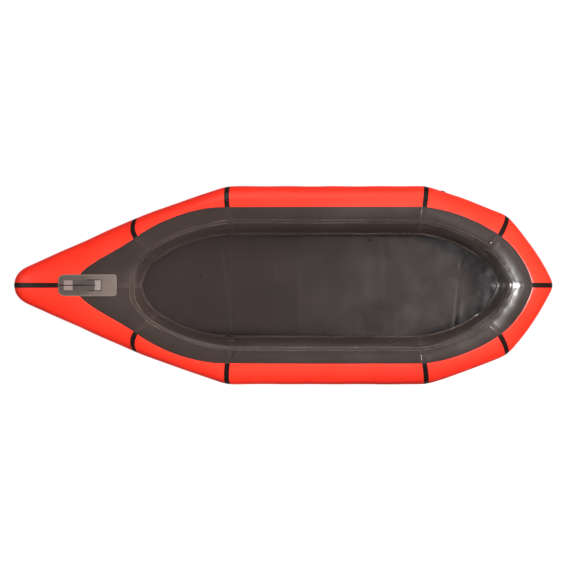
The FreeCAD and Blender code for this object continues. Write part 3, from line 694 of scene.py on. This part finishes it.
def keel_side(x):
    """Half width of the floor at each x: the keel line of the port tube."""
    return np.interp(x, KEEL[:, 0], KEEL[:, 1])


def keel_height(x):
    """Height of the keel above the ground at each x."""
    return np.interp(x, KEEL[:, 0], KEEL[:, 2]) - TUBE_FOOT


def crease(x, y, start, end, depth, width):
    """Height of a crease between two points, which dies out at its ends."""
    a, b = np.array(start, float), np.array(end, float)
    way = (b - a) / np.linalg.norm(b - a)
    along = (x - a[0]) * way[0] + (y - a[1]) * way[1]
    off = (x - a[0]) * -way[1] + (y - a[1]) * way[0]
    length = np.linalg.norm(b - a)
    ends = between(along, -CREASE_FADE, CREASE_FADE)
    ends = ends * (1 - between(along, length - CREASE_FADE, length + CREASE_FADE))
    return depth * ends * np.exp(-(off / width) ** 2)


# each crease: start, end, height and half width; a fold shows as a ridge with a valley beside it
CREASES = [((352, -190), (300, 250), 1.5, 6), ((338, -190), (286, 250), -1.4, 12),
           ((-100, -190), (-96, 257), 1.9, 6), ((-112, -190), (-108, 257), -1.2, 14),
           ((58, -130), (54, -20), 1.6, 7), ((84, -110), (84, 10), 1.0, 26),
           ((-996, -120), (-954, 245), 1.9, 7), ((-1012, -120), (-972, 245), -1.5, 14),
           ((-560, -270), (-590, 250), 0.6, 20), ((560, -120), (600, 60), 0.8, 14)]
print("keel line of", len(KEEL), "points,", len(CREASES), "creases")


# %% [markdown]
# A sheet is a grid that spans from keel line to keel line. Its height adds the keel, a raised rim, ripples
# near the rim, long waves and the creases. Beside it the code works out the sheet's area, and a cut size
# from its width and length.

# %% Floor sheets
FLOOR_STERN, FLOOR_LAP, FLOOR_BOW = -1326, 318, 1128
FLOOR_OVERLAP = 25
FLOOR_TOP, FLOOR_LOWEST = 2.0, 1.3
FLOOR_THICKNESS = 1.1
FLOOR_STEP, FLOOR_COLUMNS = 8.0, 76
BOW_SHEET_LIFT = 1.15
RIM_RISE = 7.0
RIPPLE_HEIGHT, RIPPLE_LENGTH = 1.1, 52
WAVE_HEIGHT, WAVE_LENGTH = 2.2, 340
CREASE_SHARE = 1.5
WELD_ACROSS, WELD_ALONG = 0.01, 0.02


def floor_points(x_from, x_to, lift):
    """Grid of one sheet in metres, its rows and its columns."""
    stations = np.linspace(x_from, x_to, round((x_to - x_from) / FLOOR_STEP) + 1)
    stations = np.sort(np.concatenate([stations, [x_from + 0.6, x_to - 0.6]]))
    rows, columns = len(stations), FLOOR_COLUMNS
    x = np.repeat(stations, columns)
    share = np.tile(np.linspace(-1, 1, columns), rows)
    half = np.maximum(keel_side(x), 8)
    y = share * half
    flat = np.column_stack([x, y, np.zeros(len(x))])
    inside = np.minimum(half * (1 - np.abs(share)), np.minimum(x - KEEL[0, 0], KEEL[-1, 0] - x))
    rim = RIM_RISE * between(inside, 15, 125) * (1 - between(inside, 125, 290))
    ends = 1 + 2.2 * between(-x, 900, 1150) + 0.8 * between(x, 600, 760)
    ripples = RIPPLE_HEIGHT * ends * gentle_waves(flat, RIPPLE_LENGTH)
    ripples = ripples * between(inside, 60, 110) * np.exp(-(inside - 60) / 60)
    waves = WAVE_HEIGHT * gentle_waves(flat, WAVE_LENGTH) * between(inside, 60, 220)
    creases = sum(crease(x, y, *c) for c in CREASES) * CREASE_SHARE
    relief = np.clip(FLOOR_TOP + rim + ripples + waves + creases, FLOOR_LOWEST, None)
    z = keel_height(x) + relief + lift * (0.2 + 0.8 * between(x, x_from, x_from + 20))
    return np.column_stack([x, y, z]) * MM, rows, columns


def floor_area(points, rows, columns):
    """Area of the grid in square metres, two triangles to each cell."""
    cloth = points.reshape(rows, columns, 3)
    a = np.cross(cloth[1:, :-1] - cloth[:-1, :-1], cloth[:-1, 1:] - cloth[:-1, :-1])
    b = np.cross(cloth[1:, :-1] - cloth[1:, 1:], cloth[:-1, 1:] - cloth[1:, 1:])
    return (np.linalg.norm(a, axis=2).sum() + np.linalg.norm(b, axis=2).sum()) / 2


floors = []
for cad_name, x_from, x_to, lift in (("floor_main", FLOOR_STERN, FLOOR_LAP, 0.0),
                                     ("floor_bow", FLOOR_LAP - FLOOR_OVERLAP, FLOOR_BOW, BOW_SHEET_LIFT)):
    points, rows, columns = floor_points(x_from, x_to, lift)
    area = floor_area(points, rows, columns)
    cloth = grid_mesh(cad_name + "_cloth", points.reshape(rows, columns, 3)[:, ::-1].reshape(-1, 3),
                      rows, columns, FLOOR, FLOOR_THICKNESS)
    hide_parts(cad_name)
    width = 2 * float(keel_side(np.linspace(x_from, x_to, 50)).max()) * MM
    flat = (round(width + WELD_ACROSS, 3), round((x_to - x_from) * MM + WELD_ALONG, 3))
    floors.append((cloth, flat, min(area, 0.999 * flat[0] * flat[1])))
    print(cad_name, "cut", flat, "area", round(area, 3))


# %% [markdown]
# ## Patch on the bow deck
# A thick patch is glued where the grab loop pulls. It has round corners, a border pressed in near its
# edge, and it follows the deck below it, so each of its points is dropped onto the finished deck panels.

# %% Finding the deck below a point
def deck_tree():
    """Search tree over the bow panels, port and starboard."""
    points, faces = [], []
    for cad_name, panel in panels.items():
        if "_bow_outer" in cad_name or "_bow_deck" in cad_name:
            start = len(points)
            points += [v.co.copy() for v in panel.data.vertices]
            faces += [[start + i for i in p.vertices] for p in panel.data.polygons]
    return BVHTree.FromPolygons(points, faces)


BOW_DECK = deck_tree()
DOWN = Vector((0, 0, -1))


def deck_height(x, y):
    """Height of the deck in millimetres at a place in millimetres, evened out over a small patch."""
    total, count = 0.0, 0
    for dx in (-5, 0, 5):
        for dy in (-5, 0, 5):
            hit = BOW_DECK.ray_cast(Vector(((x + dx) * MM, (y + dy) * MM, 0.6)), DOWN)[0]
            if hit is not None:
                total += hit.z / MM
                count += 1
    return total / count


print("deck at the loop", round(deck_height(1080, 0), 1), "mm up")


# %% [markdown]
# The patch is a grid whose rows get shorter towards the round corners. Its top is pressed down in two
# lines, along the border and across near the aft end, and a mesh attribute called Pale tells the material
# where the cloth is paler: along the rim and over the aft end.

# %% The patch
PATCH_HALF = 59
PATCH_LIFT = 1.2
PATCH_THICK = 1.4
PATCH_TOP = PATCH_LIFT + PATCH_THICK
PATCH_STEP, PATCH_COLUMNS = 2.0, 57
AFT_ROUND, FORE_ROUND = 14, 36
BORDER, AFT_LINE = 8, 30
RIM_EDGE, RIM_ROUND = 0.9, 1.5


def corner_inset(distance, radius):
    """How far the side of a round-cornered plate comes in at a distance from its end."""
    short = np.clip(radius - distance, 0, radius)
    return radius - np.sqrt(radius ** 2 - short ** 2)


def pressed_line(distance, width=1.6, depth=0.7):
    """Height of a groove at a distance from its middle."""
    return -depth * np.exp(-(distance / width) ** 2)


def make_patch():
    """The patch as one sheet laid on the deck."""
    xs = np.arange(PATCH_AFT, PATCH_FORE + 0.1, PATCH_STEP)
    rows, columns = len(xs), PATCH_COLUMNS
    points, pale = [], []
    for x in xs:
        half = PATCH_HALF - corner_inset(x - PATCH_AFT, AFT_ROUND) - corner_inset(PATCH_FORE - x, FORE_ROUND)
        for share in np.linspace(-1, 1, columns):
            y = share * half
            edge = min(half - abs(y), x - PATCH_AFT, PATCH_FORE - x)
            top = PATCH_TOP + pressed_line(edge - BORDER)
            rounded = RIM_EDGE * math.exp(-(edge / RIM_ROUND) ** 2)
            top += pressed_line(x - (PATCH_AFT + AFT_LINE), 1.8, 0.8) - rounded
            points.append((x, y, deck_height(x, y) + top))
            rim = 1 - between(edge, 6, 8.5)
            pale.append(min(1.0, 0.8 * rim + 0.55 * between(-x, -1080, -1020)))
    grid = np.array(points).reshape(rows, columns, 3)[:, ::-1].reshape(-1, 3) * MM
    sheet = grid_mesh("bow_patch_sheet", grid, rows, columns, PATCH, PATCH_THICK)
    share = sheet.data.attributes.new("Pale", "FLOAT", "POINT")
    share.data.foreach_set("value", np.array(pale, np.float32).reshape(rows, columns)[:, ::-1].ravel())
    return sheet


patch = make_patch()
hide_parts("bow_patch")
print("patch", len(patch.data.polygons), "faces")


# %% [markdown]
# ## Webbing grab loop
# The loop is one length of flat nylon webbing. Its two ends are sewn to the patch side by side, the legs
# run aft, and at the far end the strap is folded over at both corners so that it crosses. Webbing is
# woven thick, with round edges and ribs across it, so its section is a flat tube with a fine relief.

# %% Webbing and thread materials
def webbing_material(name, dark, light):
    """Woven nylon strap: ribs across it, a twill, and a dull sheen from the bare fibres."""
    material, tree = new_material(name)
    uv = node(tree, "ShaderNodeUVMap", uv_map="Cloth")
    ribs = weave_height(tree, 1.3 * MM, uv.outputs[0])
    place = node(tree, "ShaderNodeTexCoord")
    fuzz = node(tree, "ShaderNodeTexNoise",
                {"Vector": place.outputs["Object"], "Scale": 900.0, "Detail": 3.0})
    tint = node(tree, "ShaderNodeMix", {0: fuzz.outputs[0], 6: linear(dark), 7: linear(light)},
                data_type="RGBA")
    bump = node(tree, "ShaderNodeBump",
                {"Height": ribs.outputs[0], "Strength": 0.6, "Distance": 0.4 * MM})
    shader = node(tree, "ShaderNodeBsdfPrincipled",
                  {"Base Color": tint.outputs[2], "Roughness": 0.72, "Normal": bump.outputs[0],
                   "Sheen Weight": 0.25, "Sheen Roughness": 0.4, "IOR": 1.53})
    finish_material(tree, shader)
    return material


def thread_material():
    """Bonded polyester thread, twisted, with a silky gloss."""
    material, tree = new_material("dusty pink polyester thread, bonded")
    place = node(tree, "ShaderNodeTexCoord")
    twist = node(tree, "ShaderNodeTexNoise", {"Vector": place.outputs["Object"], "Scale": 2500.0})
    tint = node(tree, "ShaderNodeMix", {0: twist.outputs[0], 6: linear("#7d5f5b"), 7: linear("#a98a84")},
                data_type="RGBA")
    shader = node(tree, "ShaderNodeBsdfPrincipled",
                  {"Base Color": tint.outputs[2], "Roughness": 0.45, "IOR": 1.55})
    finish_material(tree, shader)
    return material


# webbing: ribs and a dull sheen; the fold is the same webbing painted paler, a painted highlight for the
# light that falls on it, and bar tacks fill the sewn ends with pink thread
WEBBING = webbing_material("dark grey nylon webbing, woven", "#2d2724", "#4d4541")
WEBBING_PAINTED_LIT = webbing_material("pale grey nylon webbing, woven", "#6a605a", "#887d77")
TACKED_WEBBING = webbing_material("dark webbing packed with pink bar tacks", "#665452", "#8c7a75")
THREAD = thread_material()
print("webbing and thread", len(bpy.data.materials), "materials so far")


# %% [markdown]
# A strap is a flat tube that is swept along a row of centres. Its section is a squared-off circle, so both
# edges are round, and its height swings a little along the way to give the ribs as real relief.

# %% A strap as a mesh
WEB_WIDTH = 24.0
WEB_THICK = 2.2
STRAP_AROUND = 28
RIB_STEP, RIB_HEIGHT = 3.2, 0.06


def strap_mesh(name, centres, across, up, widths, material):
    """Flat tube of webbing along centres: across and up are unit vectors, widths give both edges."""
    around = STRAP_AROUND
    turn = np.linspace(0, 2 * math.pi, around, endpoint=False)
    flat = np.sign(np.cos(turn)) * np.abs(np.cos(turn)) ** 0.35
    tall = np.sign(np.sin(turn)) * np.abs(np.sin(turn)) ** 0.6
    rows = len(centres)
    run = np.concatenate([[0], np.cumsum(np.linalg.norm(np.diff(centres, axis=0), axis=1))])
    points = []
    for i in range(rows):
        low, high = widths[i]
        side = (low + high) / 2 + (high - low) / 2 * flat
        rib = 1 + RIB_HEIGHT * np.sin(run[i] * 2 * math.pi / RIB_STEP + side * 0.9)
        points.append(centres[i] + np.outer(side, across[i]) + np.outer(tall * rib * WEB_THICK / 2, up[i]))
    ring = np.vstack(points) * MM
    index = np.arange(rows * around).reshape(rows, around)
    following = np.roll(index, -1, axis=1)
    quads = np.stack([index[:-1], following[:-1], following[1:], index[1:]], axis=-1).reshape(-1, 4)
    caps = [index[0][::-1].tolist(), index[-1].tolist()]
    mesh = bpy.data.meshes.new(name)
    mesh.from_pydata(ring.tolist(), [], quads.tolist() + caps)
    uv = np.column_stack([np.repeat(run, around), np.tile(flat * WEB_WIDTH / 2, rows)]) * MM
    layer = mesh.uv_layers.new(name="Cloth")
    ids = np.empty(len(mesh.loops), np.int32)
    mesh.loops.foreach_get("vertex_index", ids)
    layer.data.foreach_set("uv", uv[ids].astype(np.float32).ravel())
    for polygon in mesh.polygons:
        polygon.use_smooth = len(polygon.vertices) == 4
    mesh.materials.append(material)
    obj = bpy.data.objects.new(name, mesh)
    CRAFT.objects.link(obj)
    return obj


def on_patch(x, y, lift):
    """Point in millimetres, lift above the deck."""
    return np.array([x, y, deck_height(x, y) + lift])


def join(name, objects):
    """Several mesh objects as one."""
    with bpy.context.temp_override(active_object=objects[0], selected_editable_objects=objects):
        bpy.ops.object.join()
    objects[0].name = objects[0].data.name = name
    return objects[0]


# %% [markdown]
# The loop's free length and its two sewn ends are separate pieces, because only the free length swings.
# The legs lie side by side with a gap between them that a line can pass through.

# %% Legs, fold and sewn ends
LEG_MIDDLE = 14.5
LOOP_AFT, LOOP_FORE, SEWN_END = 985.0, 1139.7, 1187.0
SEWN_GAP = 0.3
LOOP_LIFT = PATCH_TOP + 0.35
SEWN_LIFT = LOOP_LIFT - 0.3
FOLD_CUT = 4.0
FOLD_START, FOLD_HALF, FOLD_REACH_ACROSS = 4, 16.0, 27.0
FOLD_LIFT = LOOP_LIFT + WEB_THICK * 1.45


def leg(name, side, x_from, x_to, lift, material, cut=False):
    """Strap along X beside the centre line, with its outer corner cut where it folds."""
    xs = np.arange(x_from, x_to - 0.01, -1.0)
    centres = np.array([on_patch(x, side * LEG_MIDDLE, lift + WEB_THICK / 2) for x in xs])
    half = WEB_WIDTH / 2
    widths = []
    for x in xs:
        corner = max(0.0, FOLD_CUT - (x - x_to)) if cut else 0.0
        widths.append((-half, half - corner) if side > 0 else (-half + corner, half))
    across = [np.array([0.0, 1.0, 0.0])] * len(xs)
    up = [np.array([0.0, 0.0, 1.0])] * len(xs)
    return strap_mesh(name, centres, across, up, widths, material)


def cross_piece():
    """The folded stretch across the aft end, on top of the legs."""
    ys = np.arange(-FOLD_REACH_ACROSS, FOLD_REACH_ACROSS + 0.01, 1.0)
    middle = LOOP_AFT + FOLD_START + FOLD_HALF
    centres = np.array([on_patch(middle, y, FOLD_LIFT) for y in ys])
    widths = [(-FOLD_HALF, FOLD_HALF)] * len(ys)
    across = [np.array([1.0, 0.0, 0.0])] * len(ys)
    up = [np.array([0.0, 0.0, 1.0])] * len(ys)
    # the fold is the webbing painted paler: a painted highlight
    return strap_mesh("grab_loop_cross", centres, across, up, widths, WEBBING_PAINTED_LIT)


loop = join("grab_loop_webbing", [leg("port_leg", 1, LOOP_FORE, LOOP_AFT, LOOP_LIFT, WEBBING, True),
                                  leg("starboard_leg", -1, LOOP_FORE, LOOP_AFT, LOOP_LIFT, WEBBING, True),
                                  cross_piece()])
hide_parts("grab_loop")
sewn = {}
for side, sign in (("port", 1), ("starboard", -1)):
    end = leg(side + "_sewn_end_webbing", sign, SEWN_END, LOOP_FORE + SEWN_GAP, SEWN_LIFT,
              TACKED_WEBBING)
    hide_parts(side + "_loop_sewn_end")
    sewn[side] = end
print("grab loop", len(loop.data.polygons), "faces")


# %% [markdown]
# A black strip lies in the gap between the legs, where it is painted shade, and runs on past the sewn ends
# as the black centre tape. Aft it ends under a black disc of painted shade, and a dark band of painted
# shadow lies round the folded end. The strip is glued to the patch, while disc and band move with the loop.

# %% Centre strip, painted shade disc and painted shadow band
GAP_END_X, SHADE_DISC_RADIUS, SHADE_DISC_HEIGHT = 1024.0, 4.6, 1.2
SHADE_DISC_LIFT, STRIP_ON_PATCH, SHADOW_LIFT = 4.2, 0.5, 1.4
SHADOW_OUT, SHADOW_IN, SHADOW_LONG = 31.0, 26.8, 78
SHADOW_AFT = (LOOP_AFT - 0.6, LOOP_AFT + 3.6)


def flat_grid(name, xs, ys, lift, thickness):
    """Flat black sheet laid on the patch between the given places, in millimetres: the centre strip, and
    the band of painted shadow round the folded end.
    """
    points = np.array([on_patch(x, y, PATCH_TOP + lift) for x in xs for y in ys]) * MM
    return grid_mesh(name, points, len(xs), len(ys), BLACK_TAPE, thickness)


# black strip: painted shade in the gap between the legs, and the black centre tape running on past the sewn
# ends
centre_strip = flat_grid("bow_patch_centre_strip", np.arange(GAP_END_X, PATCH_FORE - 3, 2.0),
                         (3.0, 1.0, -1.0, -3.0), STRIP_ON_PATCH, 0.6)
# a black disc of painted shade, for the dark hole where the gap between the legs ends at the fold
bpy.ops.mesh.primitive_cylinder_add(vertices=40, radius=SHADE_DISC_RADIUS * MM, depth=SHADE_DISC_HEIGHT * MM,
                                    location=on_patch(GAP_END_X, 0, PATCH_TOP + SHADE_DISC_LIFT) * MM)
gap_shade_disc = bpy.context.object
gap_shade_disc.data.transform(gap_shade_disc.matrix_world)
gap_shade_disc.matrix_world = Matrix()
gap_shade_disc.name = "grab_loop_rivet"
gap_shade_disc.data.materials.append(BLACK_TAPE)
# a dark band of painted shadow on the patch beside the legs and behind the fold, where the raised loop
# shades the patch
side_xs = np.arange(LOOP_AFT + 2, LOOP_AFT + SHADOW_LONG, 2.0)
loop_shadow = join("grab_loop_edge_binding",
               [flat_grid("port_shadow", side_xs, (SHADOW_OUT, SHADOW_IN), SHADOW_LIFT, 0.7),
                flat_grid("starboard_shadow", side_xs, (-SHADOW_IN, -SHADOW_OUT), SHADOW_LIFT, 0.7),
                flat_grid("aft_shadow", SHADOW_AFT, np.linspace(SHADOW_OUT, -SHADOW_OUT, 30),
                          SHADOW_LIFT, 0.7)])
print("loop_shadow", len(loop_shadow.data.polygons), "faces")


# %% [markdown]
# ## Stitches
# Each sewn end carries a box with a cross in it, the usual way to sew a strap that will be pulled. A
# stitch repeats along a path, so Geometry Nodes put one short piece of thread at even steps along it.

# %% The stitch tree
def stitch_tree(material):
    """Geometry Nodes tree that sets short pieces of thread along a path."""
    tree, ids, group = new_tree("Lockstitch along a path",
                                ["Stitch spacing", "Stitch length", "Thread radius"])
    curve = node(tree, "GeometryNodeMeshToCurve", {0: group.outputs[0]})
    even = node(tree, "GeometryNodeCurveToPoints",
                {0: curve.outputs[0], "Length": group.outputs["Stitch spacing"]}, mode="LENGTH")
    thread = node(tree, "GeometryNodeMeshUVSphere", {"Segments": 8, "Rings": 5,
                                                     "Radius": group.outputs["Thread radius"]})
    size = node(tree, "ShaderNodeMath", {0: group.outputs["Stitch length"],
                                         1: group.outputs["Thread radius"]}, operation="DIVIDE")
    half = node(tree, "ShaderNodeMath", {0: size.outputs[0], 1: 0.5}, operation="MULTIPLY")
    scale = node(tree, "ShaderNodeCombineXYZ", {0: 1.0, 1: 1.0, 2: half.outputs[0]})
    placed = node(tree, "GeometryNodeInstanceOnPoints",
                  {"Points": even.outputs[0], "Instance": thread.outputs[0],
                   "Rotation": even.outputs["Rotation"], "Scale": scale.outputs[0]})
    real = node(tree, "GeometryNodeRealizeInstances", {0: placed.outputs[0]})
    smooth = node(tree, "GeometryNodeSetShadeSmooth", {0: real.outputs[0]})
    end_tree(tree, smooth.outputs[0], material)
    return tree, ids


STITCH_TREE, STITCH_IDS = stitch_tree(THREAD)
print("stitch tree inputs", list(STITCH_IDS))


# %% [markdown]
# The path of one sewn end is a box, closed at its start, with both diagonals. It lies on top of the webbing.

# %% Box stitches
STITCH = {"Stitch spacing": 2.4 * MM, "Stitch length": 2.1 * MM, "Thread radius": 0.42 * MM}
BOX_HALF = 9.5
BOX_AFT, BOX_FORE = LOOP_FORE + 5, SEWN_END - 6


def sewn_path(corners, lift):
    """Points every millimetre along straight runs between corners, laid on the webbing."""
    chain = []
    for (x0, y0), (x1, y1) in zip(corners, corners[1:]):
        steps = max(2, round(math.dist((x0, y0), (x1, y1))))
        for k in range(steps):
            x = x0 + (x1 - x0) * k / steps
            y = y0 + (y1 - y0) * k / steps
            chain.append(on_patch(x, y, lift) * MM)
    return chain


def box_stitch(side, sign):
    """Stitches of one sewn end: a box with a cross in it."""
    low, high = BOX_AFT, BOX_FORE
    near, far = sign * (LEG_MIDDLE - BOX_HALF), sign * (LEG_MIDDLE + BOX_HALF)
    box = [(low, near), (high, near), (high, far), (low, far), (low, near), (high, far)]
    cross = [(high, near), (low, far)]
    lift = SEWN_LIFT + WEB_THICK + 0.1
    path = polyline(side + "_stitch_path", [sewn_path(box, lift), sewn_path(cross, lift)])
    return made_by(STITCH_TREE, STITCH_IDS, STITCH, path, side + "_sewn_end_stitches")


stitches = [box_stitch("port", 1), box_stitch("starboard", -1)]
print("stitches", [len(s.data.polygons) for s in stitches])


# %% [markdown]
# ## Valve
# The valve's parts are moulded and already have their true shape in the CAD model, so they stay and only
# get their plastics: glass-filled nylon with a fine spark-eroded grain for the body and the screw cap, and
# soft rubber for the flap and the seal.

# %% Valve materials
def moulded(name, colour, worn, roughness, grain, depth):
    """Moulded plastic or rubber: an even colour, a fine grain from the mould, and patches here and there a
    little paler and duller.
    """
    material, tree = new_material(name)
    place = node(tree, "ShaderNodeTexCoord")
    texture = node(tree, "ShaderNodeTexNoise",
                   {"Vector": place.outputs["Object"], "Scale": 1 / grain, "Detail": 2.0})
    wear = node(tree, "ShaderNodeTexNoise",
                {"Vector": place.outputs["Object"], "Scale": 90.0, "Detail": 4.0})
    spread = node(tree, "ShaderNodeMapRange", {0: wear.outputs[0], 1: 0.45, 2: 0.75, 3: 0.0, 4: 0.6})
    tint = node(tree, "ShaderNodeMix", {0: spread.outputs[0], 6: linear(colour), 7: linear(worn)},
                data_type="RGBA")
    gloss = node(tree, "ShaderNodeMapRange",
                 {0: wear.outputs[0], 1: 0.3, 2: 0.7, 3: roughness - 0.05, 4: roughness + 0.07})
    bump = node(tree, "ShaderNodeBump",
                {"Height": texture.outputs[0], "Strength": 0.35, "Distance": depth})
    shader = node(tree, "ShaderNodeBsdfPrincipled",
                  {"Base Color": tint.outputs[2], "Roughness": gloss.outputs[0],
                   "Normal": bump.outputs[0], "IOR": 1.5})
    finish_material(tree, shader)
    return material


# body and cap: black, faintly grained, with paler, duller patches here and there; flap and seal: matt grey
# rubber
PLASTIC = moulded("black glass-filled nylon, moulded", "#1b1817", "#2c2725", 0.42, 0.6 * MM, 0.1 * MM)
RUBBER = moulded("grey silicone rubber, moulded", "#57504d", "#6a625e", 0.55, 0.9 * MM, 0.05 * MM)
for cad_name, material in (("valve_body", PLASTIC), ("valve_cap", PLASTIC), ("valve_flange", FLANGE),
                           ("valve_flap", RUBBER), ("cap_seal", RUBBER)):
    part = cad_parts[cad_name]
    part.data.materials.clear()
    part.data.materials.append(material)
print("valve parts keep their CAD shape")


# %% [markdown]
# ## Riding on the bodies
# Everything welded or glued together moves as the hull. Only the loop's free length swings, on its sewn
# ends, and the valve's own parts already ride on theirs.

# %% Pieces on their bodies
for piece in [*panels.values(), *tapes, *strips, patch, centre_strip, *sewn.values(), *stitches]:
    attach(piece, "hull")
for piece in (loop, gap_shade_disc, loop_shadow):
    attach(piece, "grab_loop")
for cloth, flat, area in floors:
    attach(cloth, "hull")


# %% [markdown]
# ## Floor, light and camera
# The boat lies on a plain white floor in a white room, so that its own colours read true. Floor and world
# turn pure white for the camera, and the floor keeps a soft shadow. To every other ray the floor is a mid
# grey, because a glowing floor would wash out the dark cloth from below.

# %% White floor
GLOW_SHARE = 0.85
GLOW_LEVEL = 1.08
ROOM_LIGHT = 0.24
GROUND_SIZE = 60.0


def white_floor_material():
    """White to the camera; a mid grey to every other ray, so that it throws little light back."""
    material, tree = new_material("white floor")
    ray = node(tree, "ShaderNodeLightPath")
    shade = node(tree, "ShaderNodeMix", {0: ray.outputs["Is Camera Ray"], 6: linear("#b4b0ad"),
                                         7: linear("#f4f3f2")}, data_type="RGBA")
    paint = node(tree, "ShaderNodeBsdfDiffuse", {"Color": shade.outputs[2]})
    level = node(tree, "ShaderNodeMath", {0: ray.outputs["Is Camera Ray"], 1: GLOW_LEVEL},
                 operation="MULTIPLY")
    glow = node(tree, "ShaderNodeEmission", {"Color": linear("#ffffff"), "Strength": level.outputs[0]})
    mixed = node(tree, "ShaderNodeMixShader", {0: GLOW_SHARE, 1: paint.outputs[0], 2: glow.outputs[0]})
    finish_material(tree, mixed)
    return material


def white_world():
    """White behind everything for the camera, and a faint even light for the rest."""
    world = bpy.data.worlds.new("studio")
    world.use_nodes = True
    tree = world.node_tree
    tree.nodes.clear()
    ray = node(tree, "ShaderNodeLightPath")
    strength = node(tree, "ShaderNodeMapRange",
                    {0: ray.outputs["Is Camera Ray"], 1: 0.0, 2: 1.0, 3: ROOM_LIGHT, 4: 1.0})
    sky = node(tree, "ShaderNodeBackground", {"Color": linear("#ffffff"), "Strength": strength.outputs[0]})
    node(tree, "ShaderNodeOutputWorld", {0: sky.outputs[0]})
    bpy.context.scene.world = world


bpy.ops.mesh.primitive_plane_add(size=GROUND_SIZE, location=(0, 0, -0.002))
ground = bpy.context.object
ground.name = "white_ground"
ground.data.materials.append(white_floor_material())
white_world()
print("floor and world", GROUND_SIZE, "m wide")


# %% [markdown]
# Wide soft boxes high on both sides light the cloth evenly, and starboard gets a little more, so the tube
# looks round. Smaller ones fill dark corners: low at starboard, from astern, on the bow and along the floor.
# Coated cloth gleams where it mirrors a lamp, so four lamps light without a gleam, the two high ones among
# them, and one over the stern gives its gleam and no light.

# %% Lamps
def softbox(name, place, target, size, length, power, spread=180, mirrored=True, lights=True):
    """Area lamp of a size across and a length along the hull, aimed at a target. One that isn't mirrored
    lights the cloth without showing as a gleam in it, and one that doesn't light gives only its gleam."""
    lamp = bpy.data.lights.new(name, "AREA")
    lamp.shape = "RECTANGLE"
    lamp.size = length
    lamp.size_y = size
    lamp.energy = power
    lamp.spread = math.radians(spread)
    obj = bpy.data.objects.new(name, lamp)
    CRAFT.objects.link(obj)
    obj.visible_glossy = mirrored
    obj.visible_diffuse = lights
    obj.location = place
    obj.rotation_euler = (Vector(target) - Vector(place)).to_track_quat("-Z", "Y").to_euler()
    return obj


softbox("high starboard", (-0.2, -2.4, 3.6), (-0.2, 0, 0.1), 1.6, 4.4, 80, mirrored=False)
softbox("gleam starboard", (-0.2, -1.4, 4.0), (-0.2, 0, 0.1), 0.6, 4.4, 6)
softbox("low starboard", (0.1, -3.6, 1.2), (0, 0, 0.1), 1.2, 3.0, 36)
softbox("high port", (-0.2, 3.0, 3.0), (-0.2, 0, 0.1), 2.2, 4.6, 50, mirrored=False)
softbox("from astern", (-3.0, -0.3, 3.0), (-0.7, 0, 0.1), 0.9, 0.9, 13, spread=36, mirrored=False)
softbox("gleam on the stern", (1.9, -0.2, 3.6), (-1.3, 0, 0.2), 0.9, 0.9, 62, spread=24, lights=False)
softbox("on the bow", (-2.2, 0.8, 3.4), (0.95, 0, 0.2), 0.9, 0.9, 12, spread=30, mirrored=False)
softbox("along the floor", (3.3, -0.5, 1.5), (-0.6, 0, 0.1), 0.8, 0.8, 13)
print(len(bpy.data.lights), "lamps")


# %% [markdown]
# The camera looks straight down from well above the boat, turned so that the bow is at the left. Its lens
# follows from the width of the view at half the boat's height.

# %% Camera
CAMERA_HEIGHT = 7.0
VIEW_WIDTH = 3.124
SENSOR = 36.0
camera_data = bpy.data.cameras.new("camera")
camera_data.sensor_width = SENSOR
camera_data.lens = SENSOR * (CAMERA_HEIGHT - CAD_BOX[1][2] / 2) / VIEW_WIDTH
camera = bpy.data.objects.new("camera", camera_data)
CRAFT.objects.link(camera)
camera.location = (0, -0.0067, CAMERA_HEIGHT)
camera.rotation_euler = (0, 0, math.pi)
bpy.context.scene.camera = camera
bpy.context.scene.view_settings.view_transform = "Standard"
print("lens", round(camera_data.lens, 1), "mm")
